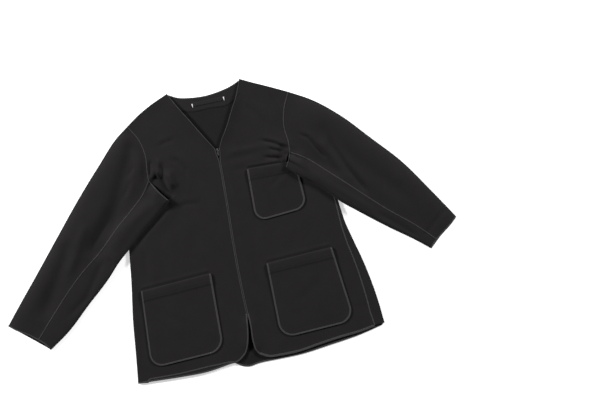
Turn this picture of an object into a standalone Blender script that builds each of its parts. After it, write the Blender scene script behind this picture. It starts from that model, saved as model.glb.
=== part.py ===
"""A collarless V-neck zip jacket of thick double jersey, laid flat on its back.

Run with: blender --background --python part.py

The tables below are in millimetres and the objects are in metres. +X runs to the wearer's left,
+Y from the hem to the neck and +Z up. The origin is on the underside of the back, which rests on
the floor. Each piece of cloth is an open surface through sections worked out from the tables,
given its wall by a Solidify modifier. Heights are those of the middle of the wall.
"""

import math
from collections import namedtuple

import bmesh
import bpy
import numpy as np
from mathutils import Matrix

MM = 0.001

# Walls and gaps
CLOTH = 1.5
TAPE = 1.0
SEAM_GAP = 0.3
HALF_GAP = SEAM_GAP / 2
SLEEVE_HALF_GAP = 0.3  # at the sleeves' front seams, whose walls lean where they climb
FOLD = 1.6  # radius of a fold, to the middle of the wall
FOLD_STEPS = 4
EDGE = CLOTH / 2 + FOLD  # from the outside of a fold to where its curve starts

# Heights of the layers, from the floor up
BACK_MID = CLOTH / 2
FRONT_MID = BACK_MID + 2 * FOLD
FACING_MID = CLOTH + SEAM_GAP + TAPE / 2
LABEL_MID = FACING_MID + TAPE + SEAM_GAP
ZIP_TAPE_MID = 3.4
ZIP_LIFT = 1.2  # how far the fronts rise over the zip
ZIP_LIFT_WIDTH = 45.0
POCKET_MID = FRONT_MID + CLOTH + SEAM_GAP + 0.1
POCKET_FOLD = (CLOTH + SEAM_GAP) / 2
SLEEVE_REST = FRONT_MID + CLOTH + SEAM_GAP + 0.15  # a sleeve's lower layer where it is on a front
POCKET_STACK = 3.6  # how much higher it lies on the turned top of a pocket

Point = namedtuple("Point", "x y")

# The right side of the body, from the hem up to the underarm. The left side follows.
RIGHT_SIDE = [Point(-322, -321), Point(-312, -250), Point(-301, -161), Point(-284, -60),
              Point(-274, 16), Point(-269, 62)]
LEFT_SIDE = [Point(324, -299), Point(321, -252), Point(312, -180), Point(301, -122), Point(289, -74),
             Point(278, -28), Point(273, 28), Point(268, 72)]
# How far the wrapped panel runs on past the fold, at shares of the side from the hem up
SIDE_WRAP = [(0, 23), (0.1, 25.5), (0.35, 20.5), (0.6, 14.5), (0.75, 7), (1, 2)]

# Neck and shoulders
SHOULDER_WRAP = 2.0
RIGHT_SHOULDER = [Point(-213, 325), Point(-177, 349), Point(-147, 365), Point(-97, 386)]
LEFT_SHOULDER = [Point(206, 327), Point(163, 349), Point(116, 372), Point(91, 385)]
BACK_NECK = [Point(-93, 382), Point(-68, 369), Point(-43, 364), Point(-4, 361), Point(36, 365),
             Point(63, 371), Point(87, 382)]

# Armholes: the upper layer from the shoulder to the sleeve's tip, and the lower layer
RIGHT_ARMHOLE = [Point(-213, 325), Point(-191, 284), Point(-183, 240), Point(-187, 200),
                 Point(-188, 178)]
RIGHT_TIP = [Point(-188, 178), Point(-168, 144), Point(-150, 120)]
RIGHT_BACK_ARMHOLE = [Point(-213, 325), Point(-194, 275), Point(-189, 228), Point(-198, 175),
                      Point(-224, 112), Point(-269, 62)]
LEFT_ARMHOLE = [Point(206, 327), Point(186, 285), Point(177, 240), Point(180, 200), Point(178, 176)]
LEFT_TIP = [Point(178, 176), Point(170, 155), Point(162, 140)]
LEFT_BACK_ARMHOLE = [Point(206, 327), Point(188, 280), Point(182, 232), Point(191, 178),
                     Point(218, 118), Point(268, 72)]
TIP_LAP = 4.5  # how far a front runs on under the edge of a sleeve

# Front edges: the neckline, the zip and the rounded corner at the hem
RIGHT_NECKLINE = [Point(-5.2, 222), Point(-17, 242), Point(-36, 275), Point(-55, 309), Point(-74, 342),
                  Point(-96, 384)]
LEFT_NECKLINE = [Point(4.0, 222), Point(15, 243), Point(30, 266), Point(56, 313), Point(72, 341),
                 Point(90, 383)]
ZIP_LINE = [Point(-13, -204), Point(-13.4, -135), Point(-10.5, -30), Point(-4.5, 96), Point(-1.4, 180),
            Point(-0.6, 222)]
ZIP_HALF_GAP = 0.5
ZIP_TOP_HALF_GAP = 4.6
ZIP_TOP_LENGTH = 36.0  # where the fronts part to pass each side of the slider
RIGHT_CORNER = [Point(-38, -303), Point(-30, -289), Point(-23, -267), Point(-19, -247), Point(-13.5, -204)]
LEFT_CORNER = [Point(-3, -313), Point(-11, -300), Point(-14, -278), Point(-12, -236), Point(-12.5, -204)]
RIGHT_HEM = [Point(-322, -321), Point(-268, -324), Point(-216, -327), Point(-137, -328), Point(-83, -321),
             Point(-59, -318), Point(-38, -303)]
LEFT_HEM = [Point(324, -299), Point(260, -310), Point(207, -314), Point(153, -320), Point(99, -327),
            Point(46, -327), Point(20, -325), Point(-3, -313)]
BACK_HEM = [Point(-322, -316), Point(-216, -320), Point(-110, -318), Point(-72, -320), Point(-55, -332),
            Point(-38, -337), Point(-10, -334), Point(45, -334), Point(97, -334), Point(178, -326),
            Point(258, -316), Point(324, -302)]

# Sleeves: outer fold, front seam, lower fold, hind seam and cuff
RIGHT_OUTER = [Point(-213, 325), Point(-244, 303), Point(-304, 243), Point(-372, 171), Point(-441, 92),
               Point(-510, 12), Point(-580, -68), Point(-615, -109)]
RIGHT_FRONT_SEAM = [Point(-188, 178), Point(-210, 147), Point(-241, 119), Point(-284, 84),
                    Point(-346, 28), Point(-411, -23), Point(-480, -89), Point(-547, -160)]
RIGHT_LOWER = [Point(-150, 120), Point(-178, 93), Point(-206, 71), Point(-235, 50), Point(-273, 17),
               Point(-301, -6), Point(-340, -45), Point(-402, -98), Point(-467, -155), Point(-521, -191)]
RIGHT_HIND_SEAM = [Point(-269, 62), Point(-320, 18), Point(-372, -34), Point(-460, -112), Point(-552, -163)]
RIGHT_CUFF_OUTER = [Point(-615, -109), Point(-592, -127), Point(-569, -142), Point(-547, -160)]
RIGHT_CUFF_INNER = [Point(-547, -160), Point(-534, -172), Point(-521, -191)]
LEFT_OUTER = [Point(206, 327), Point(257, 297), Point(323, 241), Point(387, 169), Point(450, 96),
              Point(509, 7), Point(559, -73)]
LEFT_FRONT_SEAM = [Point(178, 176), Point(213, 154), Point(257, 113), Point(322, 49), Point(387, -15),
                   Point(453, -73), Point(499, -120)]
LEFT_LOWER = [Point(162, 140), Point(195, 106), Point(235, 72), Point(278, 26), Point(322, -12),
              Point(389, -67), Point(445, -110), Point(480, -140)]
LEFT_HIND_SEAM = [Point(268, 72), Point(318, 22), Point(370, -24), Point(440, -82), Point(508, -114)]
LEFT_CUFF_OUTER = [Point(559, -73), Point(541, -89), Point(522, -103), Point(499, -120)]
LEFT_CUFF_INNER = [Point(499, -120), Point(489, -129), Point(480, -140)]
SLEEVE_RAMP = 26.0  # over which a sleeve climbs from the floor onto the body
UNDERARM_RAMP = 36.0  # over which it drops again above the underarm
POCKET_RAMP = 24.0  # over which it climbs onto the chest pocket
STATIONS = 16
STATION_GRADING = 1.35
UNDERARM_STATIONS = 6  # stations of the lower fold before it passes the underarm
ARMHOLE_STATIONS = 7  # stations of the outer fold before it does
HIND_STATIONS = STATIONS - ARMHOLE_STATIONS
TIP_RAMP = 22.0  # over which it leaves its armhole edge
SLEEVE_LOFT = 1.7

# Soft ridges of the fronts: from one end to the other, with height and half width
Ridge = namedtuple("Ridge", "x0 y0 x1 y1 height width")
RIDGES = [
    Ridge(-172, 214, -150, 158, 2.2, 13),
    Ridge(-128, 216, -132, 160, 1.8, 15),
    Ridge(98, 214, 148, 196, 1.8, 12),
    Ridge(112, 194, 158, 182, 1.6, 10),
]

# Patch pockets: corners of the visible outline, with the radius of the lower corners
Pocket = namedtuple("Pocket", "name top_left top_right bottom_right bottom_left radius")
POCKETS = [
    Pocket("pocket_right", Point(-265, -92), Point(-83, -84), Point(-90, -283), Point(-280, -290), 36),
    Pocket("pocket_left", Point(62, -89), Point(232, -83), Point(251, -277), Point(59, -284), 38),
    Pocket("pocket_chest", Point(63, 156), Point(188, 151), Point(192, 29), Point(58, 20), 30),
]
POCKET_BAND = 26.0  # depth of the turned top
POCKET_BAND_FADE = 7.0
POCKET_TURN = 0.86  # the share of the band's depth that the cloth turned inside it reaches

# Back neck facing and its blank hanger tape
FACING_LOWER = [Point(-112, 362), Point(-82, 342), Point(-53, 329), Point(0, 327), Point(52, 327),
                Point(80, 342), Point(106, 361)]
FACING_UPPER = [Point(-104, 375), Point(-88, 377), Point(-68, 367), Point(-43, 362), Point(-4, 359),
                Point(36, 363), Point(63, 369), Point(83, 377), Point(99, 374)]
LABEL_LENGTH = 88.0
LABEL_WIDTH = 10.0
LABEL_CENTRE = Point(-0.5, 345.5)

# Zip
ZIP_TAPE_WIDTH = 13.0
ZIP_TAPE_HALF_GAP = 1.0
ZIP_TAPE_TOP = 216.0
ZIP_TAPE_FOOT = -204.0
SLIDER_WIDTH = 5.0
SLIDER_LENGTH = 9.6
SLIDER_FOOT = 213.4
SLIDER_UNDER = (1.8, 2.6)  # bottom and top of the lower plate
SLIDER_UPPER = (4.2, 5.8)
SLIDER_POST = 1.3
POST_LENGTH = 4.1
BRIDGE_WIDTH = 1.4
BRIDGE_LENGTH = 5.8
BRIDGE_WALL = 0.9
BRIDGE_RISE = 2.5
PULL_PIVOT = Point(-0.7, 218.4)
PULL_PIVOT_HEIGHT = SLIDER_UPPER[1] + 0.8
PULL_WIDTH = 4.6
PULL_LENGTH = 14.0
PULL_THICKNESS = 0.9
PULL_HOLE_WIDTH = 2.2
PULL_HOLE_LENGTH = 3.6
PULL_BAR = 0.5  # half depth of the bar that turns under the bridge
ZIP_BOX = (9.0, 9.0, 1.3)
ZIP_BOX_GAP = 0.6
ZIP_BOX_ROUNDING = 0.3
PULL_ROUNDING = 0.2
JOIN = 0.4  # how far joined shapes of the slider run into each other
THROUGH = 1.0  # how far a cutter runs on past what it cuts

# Finishes: colour, roughness, metallic
Finish = namedtuple("Finish", "colour roughness metallic")
FINISHES = {
    "cloth": Finish((0.020, 0.018, 0.020), 0.95, 0.0),
    "facing": Finish((0.014, 0.013, 0.014), 0.95, 0.0),
    "hanger_tape": Finish((0.016, 0.015, 0.016), 0.9, 0.0),
    "zip_tape": Finish((0.012, 0.012, 0.013), 0.9, 0.0),
    "zip_metal": Finish((0.16, 0.16, 0.165), 0.35, 1.0),
}


def smooth(value):
    """0 below 0, 1 above 1 and an even slope between."""
    value = np.clip(value, 0.0, 1.0)
    return value * value * (3 - 2 * value)


def spline(points, segments):
    """Points spaced evenly along a smooth curve through the given ones."""
    points = np.array(points, float)
    lengths = np.linalg.norm(np.diff(points, axis=0), axis=1)
    at = np.concatenate([[0.0], np.cumsum(lengths)])
    slopes = np.gradient(points, at, axis=0)
    fine = []
    for i, length in enumerate(lengths):
        f = np.linspace(0, 1, 12, endpoint=False)[:, None]
        start = (2 * f**3 - 3 * f**2 + 1) * points[i] + (f**3 - 2 * f**2 + f) * length * slopes[i]
        end = (3 * f**2 - 2 * f**3) * points[i + 1] + (f**3 - f**2) * length * slopes[i + 1]
        fine.append(start + end)
    fine = np.vstack([*fine, points[-1:]])
    run = np.concatenate([[0.0], np.cumsum(np.linalg.norm(np.diff(fine, axis=0), axis=1))])
    wanted = np.linspace(0, run[-1], segments + 1)
    return np.stack([np.interp(wanted, run, fine[:, k]) for k in range(fine.shape[1])], axis=1)


def chain(*curves):
    """Curves joined end to end."""
    return np.vstack([curves[0], *(curve[1:] for curve in curves[1:])])


def towards(start, end, distance):
    """A point a distance from start on the way to end."""
    return start + (end - start) * distance / np.linalg.norm(end - start)


def halved(curve, count):
    """The curve with a point added in the middle of each of its last stretches, as many as count."""
    points = list(curve[: len(curve) - count])
    for before, after in zip(curve[len(curve) - count - 1 : -1], curve[len(curve) - count :]):
        points += [(before + after) / 2, after]
    return np.array(points)


def normals(curve):
    """The unit vectors to the left of the way along a curve."""
    along = np.gradient(curve, axis=0)
    along /= np.linalg.norm(along, axis=1)[:, None]
    return np.stack([-along[:, 1], along[:, 0]], axis=1)


def shifted(curve, distance):
    """The curve moved to its left by a distance, which may change along it."""
    return curve + normals(curve) * np.reshape(distance, (-1, 1))


def coons(start, end, first, last):
    """A plan grid with the curves start and end as its end rows, first and last as its end columns."""
    u = np.linspace(0, 1, len(start))[None, :, None]
    v = along_fractions(first)[:, None, None]
    w = along_fractions(last)[:, None, None]
    v = (v + w) / 2
    rows = (1 - u) * first[:, None] + u * last[:, None]
    columns = (1 - v) * start[None] + v * end[None]
    corners = (1 - v) * ((1 - u) * start[0] + u * start[-1]) + v * ((1 - u) * end[0] + u * end[-1])
    return rows + columns - corners


def along_fractions(curve):
    run = np.concatenate([[0.0], np.cumsum(np.linalg.norm(np.diff(curve, axis=0), axis=1))])
    return run / run[-1]


def raised(plan, height):
    """Plan points with their heights."""
    return np.concatenate([plan, np.broadcast_to(height, plan.shape[:-1])[..., None]], axis=-1)


def fold(edge, outward, top, bottom):
    """The sections of a fold, from the top of its curve round to the bottom, as columns of points."""
    turn = np.linspace(0, math.pi, FOLD_STEPS + 1)
    radius = ((top - bottom) / 2)[:, None]
    plan = edge[:, None] + outward[:, None] * (abs(radius) * np.sin(turn))[..., None]
    height = ((top + bottom) / 2)[:, None] + radius * np.cos(turn)
    return raised(plan, height)


def segment_distance(x, y, x0, y0, x1, y1):
    """The distance to a line from one point to another, and how far along it the nearest point is."""
    dx, dy = x1 - x0, y1 - y0
    along = np.clip(((x - x0) * dx + (y - y0) * dy) / (dx * dx + dy * dy), 0, 1)
    return np.hypot(x - x0 - along * dx, y - y0 - along * dy), along


def zip_x(y):
    """Where the zip's line is at a height of the body."""
    line = spline(ZIP_LINE, 40)
    return np.interp(y, line[:, 1], line[:, 0])


def front_height(plan):
    """The middle of a front's wall: flat, with a rise over the zip and the main ridges."""
    x, y = plan[..., 0], plan[..., 1]
    height = FRONT_MID + ZIP_LIFT * np.exp(-(((x - zip_x(y)) / ZIP_LIFT_WIDTH) ** 2))
    for ridge in RIDGES:
        away, along = segment_distance(x, y, ridge.x0, ridge.y0, ridge.x1, ridge.y1)
        fade = smooth(np.minimum(along, 1 - along) * 4 + 0.3)
        height = height + ridge.height * fade * np.exp(-((away / ridge.width) ** 2))
    return height


def side_distance(x, y, side):
    """How far inside the side of the body a point is."""
    line = spline(side, 20)
    edge = np.interp(y, line[:, 1], line[:, 0])
    return (x - edge) if line[0, 0] < 0 else (edge - x)


def pocket_cover(x, y, pocket):
    """1 over a pocket, falling to 0 round it."""
    outside_x = np.maximum(pocket.top_left.x - x, x - pocket.bottom_right.x)
    outside_y = np.maximum(pocket.bottom_left.y - y, y - pocket.top_left.y)
    away = np.hypot(np.maximum(outside_x, 0), np.maximum(outside_y, 0))
    return smooth(1.2 - away / POCKET_RAMP)


def sleeve_rest(plan, side, tip):
    """The middle of a sleeve's lower layer: on the floor, or on the front that it lies over."""
    x, y = plan[..., 0], plan[..., 1]
    underarm = np.array(side[-1], float)
    line = np.array(tip[-1], float) - underarm
    line /= np.linalg.norm(line)
    below = np.array([line[1], -line[0]]) if line[0] > 0 else np.array([-line[1], line[0]])
    past_line = (x - underarm[0]) * below[0] + (y - underarm[1]) * below[1]
    over = smooth(1.4 + side_distance(x, y, side) / SLEEVE_RAMP) * smooth(1.25 + past_line / UNDERARM_RAMP)
    cover = pocket_cover(x, y, POCKETS[2]) if side[0].x > 0 else np.zeros_like(x)
    return BACK_MID + np.maximum(over, cover) * (SLEEVE_REST - BACK_MID) + cover * POCKET_STACK


def make_material(name):
    finish = FINISHES[name]
    material = bpy.data.materials.get(name) or bpy.data.materials.new(name)
    material.use_nodes = True
    shader = material.node_tree.nodes["Principled BSDF"]
    shader.inputs["Base Color"].default_value = (*finish.colour, 1)
    shader.inputs["Roughness"].default_value = finish.roughness
    shader.inputs["Metallic"].default_value = finish.metallic
    material.diffuse_color = (*finish.colour, 1)
    return material


def link(name, mesh, material):
    """A named object in the jacket's collection."""
    obj = bpy.data.objects.new(name, mesh)
    mesh.materials.append(make_material(material))
    bpy.data.collections["jacket"].objects.link(obj)
    return obj


def cloth_piece(name, grids, wall=CLOTH, material="cloth"):
    """One piece of cloth from grids of points in millimetres that share their common edges."""
    shape = bmesh.new()
    for grid in grids:
        rows, columns = grid.shape[:2]
        points = [[shape.verts.new(grid[i, j] * MM) for j in range(columns)] for i in range(rows)]
        for i in range(rows - 1):
            for j in range(columns - 1):
                shape.faces.new((points[i][j], points[i][j + 1], points[i + 1][j + 1], points[i + 1][j]))
    bmesh.ops.remove_doubles(shape, verts=shape.verts, dist=1e-6)
    bmesh.ops.recalc_face_normals(shape, faces=shape.faces)
    mesh = bpy.data.meshes.new(name)
    shape.to_mesh(mesh)
    shape.free()
    mesh.shade_smooth()
    piece = link(name, mesh, material)
    shell = piece.modifiers.new("wall", "SOLIDIFY")
    shell.thickness = wall * MM
    shell.offset = 0
    shell.use_even_offset = True
    return piece


def front_edge(corner, neckline, facing):
    """A front's free edge, from the hem's corner up to the shoulder. Facing is -1 right, 1 left."""
    foot = spline(corner, 5)
    zip_run = spline(ZIP_LINE, 15)
    gap = ZIP_HALF_GAP + (ZIP_TOP_HALF_GAP - ZIP_HALF_GAP) * smooth(
        1 - (neckline[0].y - zip_run[:, 1]) / ZIP_TOP_LENGTH
    )
    zip_run[:, 0] += facing * gap
    foot[-1] = zip_run[0]
    top = spline(neckline, 7)
    zip_run[-1] = top[0]
    return chain(foot, zip_run, top)


def front_side(side, armhole, tip, inset):
    """A front's outer edge, from the hem up the side, along the underarm and up the armhole."""
    facing = 1 if side[0].x > 0 else -1
    line = spline(side, 13)
    flank = shifted(line, facing * inset)
    lap = shifted(spline(tip, 3), -facing * np.array([HALF_GAP, TIP_LAP, TIP_LAP, TIP_LAP]))[::-1]
    underarm = spline([flank[-1], lap[0]], 4)
    upper = shifted(spline(armhole, 7), facing * -HALF_GAP)[::-1]
    upper[0] = lap[-1]
    return chain(flank, underarm, lap, upper)


def side_reach(count):
    """How far the wrapped panel runs on past the fold, from the hem up to the underarm."""
    shares, reach = zip(*SIDE_WRAP)
    return np.interp(np.linspace(0, 1, count), shares, reach)


def side_inset(count, wraps):
    """How far inside the side fold a panel's seam lies, from the hem up to the underarm."""
    wrap = side_reach(count)
    return EDGE + (wrap + SEAM_GAP if wraps else 0 * wrap)


def side_wrap(edge, facing, start, end):
    """A side fold and the strip that it carries on to the other layer, joined to the grid's edge."""
    outward = normals(edge) * -facing
    rows = len(edge)
    curve = fold(edge, outward, np.full(rows, start), np.full(rows, end))
    wrap = side_reach(rows)[:, None]
    steps = np.linspace(0, 1, 3)[1:]
    strip = raised(edge[:, None] - outward[:, None] * (wrap * steps)[..., None], end)
    return np.concatenate([curve, strip], axis=1)


def shoulder_fold(edge, outward_sign):
    """The fold at the top of a front, down to the back."""
    outward = normals(edge) * outward_sign
    turn = fold(edge, outward, front_height(edge), np.full(len(edge), BACK_MID))
    flat = raised(edge - outward * SHOULDER_WRAP, BACK_MID)
    return np.concatenate([turn, flat[:, None]], axis=1).transpose(1, 0, 2)


def make_front(name, side, hem, corner, neckline, armhole, tip, shoulder, wraps_under):
    facing = 1 if side[0].x > 0 else -1
    outer = front_side(side, armhole, tip, side_inset(14, not wraps_under))
    inner = front_edge(corner, neckline, facing)
    bottom = spline(hem, 12)
    top = halved(shifted(spline(shoulder, 6), facing * EDGE), 6)
    bottom[0], bottom[-1] = outer[0], inner[0]
    top[0] = towards(top[0], top[1], 2 * SEAM_GAP)
    outer[-1] = top[0]
    inner[-1] = top[-1]
    plan = coons(bottom, top, outer, inner)
    grids = [raised(plan, front_height(plan))]
    if wraps_under:
        grids.append(side_wrap(outer[:14], facing, FRONT_MID, BACK_MID))
        grids[0][:14, 0, 2] = FRONT_MID
    grids.append(shoulder_fold(top, -facing))
    return cloth_piece(name, grids)


def make_back():
    right = shifted(spline(RIGHT_SIDE, 13), -side_inset(14, True))
    left = shifted(spline(LEFT_SIDE, 13), side_inset(14, False))
    right_arm = shifted(spline(RIGHT_BACK_ARMHOLE, ARMHOLE_STATIONS), HALF_GAP)[::-1]
    left_arm = shifted(spline(LEFT_BACK_ARMHOLE, ARMHOLE_STATIONS), -HALF_GAP)[::-1]
    right_arm[0], left_arm[0] = right[-1], left[-1]
    first, last = chain(right, right_arm), chain(left, left_arm)
    seam = EDGE + SHOULDER_WRAP + SEAM_GAP
    right_top = shifted(spline(RIGHT_SHOULDER, 6), -seam)
    left_top = shifted(spline(LEFT_SHOULDER, 6), seam)[::-1]
    neck = spline([right_top[-1], *BACK_NECK[1:-1], left_top[0]], 8)
    top = chain(right_top, neck, left_top)
    bottom = chain(spline(BACK_HEM[:5], 7), spline(BACK_HEM[4:8], 5), spline(BACK_HEM[7:], 8))
    bottom[0], bottom[-1] = first[0], last[0]
    first[-1], last[-1] = top[0], top[-1]
    plan = coons(bottom, top, first, last)
    flat = raised(plan, BACK_MID)
    wrap = side_wrap(last[:14], 1, BACK_MID, FRONT_MID)
    return cloth_piece("back", [flat, wrap])


Sleeve = namedtuple("Sleeve", "side armhole tip back_armhole outer seam lower hind cuff_outer cuff_inner")
SLEEVES = {
    "right": Sleeve(RIGHT_SIDE, RIGHT_ARMHOLE, RIGHT_TIP, RIGHT_BACK_ARMHOLE, RIGHT_OUTER,
                    RIGHT_FRONT_SEAM, RIGHT_LOWER, RIGHT_HIND_SEAM, RIGHT_CUFF_OUTER, RIGHT_CUFF_INNER),
    "left": Sleeve(LEFT_SIDE, LEFT_ARMHOLE, LEFT_TIP, LEFT_BACK_ARMHOLE, LEFT_OUTER,
                   LEFT_FRONT_SEAM, LEFT_LOWER, LEFT_HIND_SEAM, LEFT_CUFF_OUTER, LEFT_CUFF_INNER),
}


def rail(points, stations=STATIONS):
    """A rail of a sleeve, with its stations closer together at the armhole."""
    fine = spline(points, 400)
    at = np.linspace(0, 1, stations + 1) ** STATION_GRADING
    run = np.linspace(0, 1, 401)
    return np.stack([np.interp(at, run, fine[:, k]) for k in range(2)], axis=1)


def blend_from_edge(plan, edge_height, inner_height):
    """Heights that leave the armhole edge's own and reach the sleeve's."""
    away = np.linalg.norm(plan - plan[:1], axis=2)
    share = smooth(away / TIP_RAMP)
    return edge_height[None] * (1 - share) + inner_height * share


def tip_height(plan, data):
    """The edge of the under sleeve's upper layer, from the front seam down to the tip."""
    run = np.linspace(0, 1, len(plan))
    rest = np.maximum(sleeve_rest(plan, data.side, data.tip), SLEEVE_REST)
    seated = FRONT_MID + (rest - FRONT_MID) * smooth(run / 0.3)
    return seated + 2 * FOLD * smooth((run - 0.45) / 0.55)


def sleeve_fold(edge, data, facing):
    """The fold along a rail: where its curve starts on each layer, with the sections between."""
    outward = normals(edge) * facing
    low = sleeve_rest(edge, data.side, data.tip)
    start = edge - outward * EDGE
    start[0] = towards(start[0], start[1], SEAM_GAP)
    return start, fold(start, outward, low + 2 * FOLD, low)


def loft(columns):
    """How far the upper layer of a sleeve arches across its width."""
    return SLEEVE_LOFT * np.sin(np.linspace(0, math.pi, columns))[None]


def upper_layer(armhole, cuff, seam, start, curve, data, edge_height, arch):
    """The part of a sleeve piece that shows from above, from its front seam to its fold."""
    armhole[0] = towards(armhole[0], armhole[1], SEAM_GAP)
    seam[0], cuff[0] = armhole[0], seam[-1]
    armhole[-1], cuff[-1] = start[0], start[-1]
    plan = coons(armhole, cuff, seam, start)
    height = sleeve_rest(plan, data.side, data.tip) + 2 * FOLD + arch
    upper = raised(plan, blend_from_edge(plan, edge_height(plan[0]), height))
    upper[:, -1] = curve[:, 0]
    return upper


def lower_layer(start, armhole, hind, curve, data, columns):
    """The part that lies underneath, from the fold to the armhole and then the hind seam."""
    far = chain(armhole, hind)
    share = np.linspace(0, 1, columns)[None, :, None]
    plan = start[:, None] * (1 - share) + far[:, None] * share
    lower = raised(plan, sleeve_rest(plan, data.side, data.tip))
    lower[:, 0] = curve[:, -1]
    return lower


def hind_seam(data, facing):
    """The hind seam's edge, from the underarm to the cuff."""
    seam = shifted(rail(data.hind, HIND_STATIONS), facing * HALF_GAP)
    seam[0] = towards(seam[0], seam[1], SEAM_GAP)
    return seam


def make_top_sleeve(name, data):
    """From the front seam over the outer fold to the hind seam."""
    facing = -1 if name == "right" else 1
    start, curve = sleeve_fold(rail(data.outer), data, facing)
    seam = shifted(rail(data.seam), facing * SLEEVE_HALF_GAP)
    hind = hind_seam(data, facing)
    armhole = shifted(spline(data.armhole, 7), facing * HALF_GAP)[::-1]
    cuff = spline(data.cuff_outer, 7)[::-1]
    upper = upper_layer(armhole, cuff, seam, start, curve, data,
                        lambda edge: np.full(len(edge), FRONT_MID), loft(8))
    back_edge = shifted(spline(data.back_armhole, ARMHOLE_STATIONS), facing * HALF_GAP)
    back_edge[0], back_edge[-1] = start[0], hind[0]
    lower = lower_layer(start, back_edge, hind, curve, data, 9)
    grid = np.concatenate([upper, curve[:, 1:-1], lower], axis=1)
    return cloth_piece(f"top_sleeve_{name}", [grid])


def make_under_sleeve(name, data):
    """From the front seam over the lower fold to the hind seam, with a point at the underarm."""
    facing = -1 if name == "right" else 1
    start, curve = sleeve_fold(rail(data.lower), data, -facing)
    seam = shifted(rail(data.seam), -facing * SLEEVE_HALF_GAP)
    armhole = shifted(spline(data.tip, 6), facing * HALF_GAP)
    upper = upper_layer(armhole, spline(data.cuff_inner, 6), seam, start, curve, data,
                        lambda edge: tip_height(edge, data), loft(7) / 2)
    hind = hind_seam(data, -facing)
    underarm = rail([start[0], hind[0]], UNDERARM_STATIONS)
    lower = lower_layer(start, underarm, halved(hind, 1), curve, data, 7)
    # The point that is added to the hind seam stays in line with its neighbours.
    lower[-2, -1, 2] = (lower[-1, -1, 2] + lower[-3, -1, 2]) / 2
    grid = np.concatenate([upper, curve[:, 1:-1], lower], axis=1)
    return cloth_piece(f"under_sleeve_{name}", [grid])


def pocket_plan(pocket, columns):
    """Rows of a pocket's outline from its top edge down to its rounded lower corners."""
    corners = [np.array(corner, float) for corner in pocket[1:5]]
    top_left, top_right, bottom_right, bottom_left = corners
    depth = (np.linalg.norm(bottom_left - top_left) + np.linalg.norm(bottom_right - top_right)) / 2
    straight = [0.0, POCKET_BAND, POCKET_BAND + POCKET_BAND_FADE]
    straight += list(np.linspace(POCKET_BAND + POCKET_BAND_FADE, depth - pocket.radius, 4)[1:])
    corner = [depth - pocket.radius * (1 - math.sin(a)) for a in np.linspace(0, math.pi / 2, 6)[1:]]
    rows = []
    for down in straight + corner:
        into = max(0.0, down - (depth - pocket.radius))
        inset = pocket.radius - math.sqrt(pocket.radius**2 - into**2)
        left = top_left + (bottom_left - top_left) * down / depth
        right = top_right + (bottom_right - top_right) * down / depth
        across = (right - left) / np.linalg.norm(right - left)
        share = np.linspace(0, 1, columns + 1)[:, None]
        rows.append((left + across * inset) * (1 - share) + (right - across * inset) * share)
    return np.array(rows), np.array(straight + corner)


def make_pocket(pocket):
    """A patch pocket: its top is turned in, so two layers lie over the front there."""
    plan, down = pocket_plan(pocket, 8)
    band = smooth(1 - (down - POCKET_BAND) / POCKET_BAND_FADE)[:, None]
    height = POCKET_MID + 2 * POCKET_FOLD * band
    outside = raised(plan, height * np.ones(plan.shape[:2]))
    edge = plan[0]
    outward = normals(edge)
    count = len(edge)
    rolled = edge - outward * (CLOTH / 2 + POCKET_FOLD)
    outside[0, :, :2] = rolled
    top = np.full(count, POCKET_MID + 2 * POCKET_FOLD)
    turn = fold(rolled, outward, top, np.full(count, POCKET_MID)).transpose(1, 0, 2)
    inner_end = plan[0] + (plan[1] - plan[0]) * POCKET_TURN
    inside = raised(np.array([rolled, inner_end]), POCKET_MID)
    return cloth_piece(pocket.name, [outside, turn, inside])


def make_facing():
    plan = np.linspace(spline(FACING_UPPER, 12), spline(FACING_LOWER, 12), 4)
    return cloth_piece("neck_facing", [raised(plan, FACING_MID)], TAPE, "facing")


def make_label_tape():
    half = Point(LABEL_LENGTH / 2, LABEL_WIDTH / 2)
    columns = np.linspace(-half.x, half.x, 5)
    rows = (LABEL_CENTRE.y - half.y, LABEL_CENTRE.y + half.y)
    plan = np.array([[(LABEL_CENTRE.x + x, y) for x in columns] for y in rows])
    return cloth_piece("label_tape", [raised(plan, LABEL_MID)], TAPE, "hanger_tape")


def make_zip_tape(name, facing):
    y = np.linspace(ZIP_TAPE_FOOT, ZIP_TAPE_TOP, 13)
    near = np.stack([zip_x(y) + facing * ZIP_TAPE_HALF_GAP, y], axis=1)
    far = near + (facing * ZIP_TAPE_WIDTH, 0)
    plan = np.stack([near, (near + far) / 2, far], axis=1)
    return cloth_piece(name, [raised(plan, ZIP_TAPE_MID)], TAPE, "zip_tape")


def box_mesh(name, low, high):
    """A box between two corners in millimetres."""
    shape = bmesh.new()
    size = [(b - a) * MM for a, b in zip(low, high)]
    middle = [(a + b) / 2 * MM for a, b in zip(low, high)]
    bmesh.ops.create_cube(shape, size=1, matrix=Matrix.Translation(middle) @ Matrix.Diagonal((*size, 1)))
    mesh = bpy.data.meshes.new(name)
    shape.to_mesh(mesh)
    shape.free()
    return mesh


def boolean(target, operation, name, low, high):
    """Joins a box to the target, or cuts it away. The box is a helper that isn't rendered."""
    helper = bpy.data.objects.new(name, box_mesh(name, low, high))
    helper.hide_render = True
    helper.display_type = "WIRE"
    bpy.data.collections["cutters"].objects.link(helper)
    change = target.modifiers.new(name, "BOOLEAN")
    change.operation = operation
    change.object = helper
    return helper


def round_edges(target, width):
    bevel = target.modifiers.new("edges", "BEVEL")
    bevel.width = width * MM
    bevel.segments = 2
    bevel.limit_method = "ANGLE"


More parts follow.
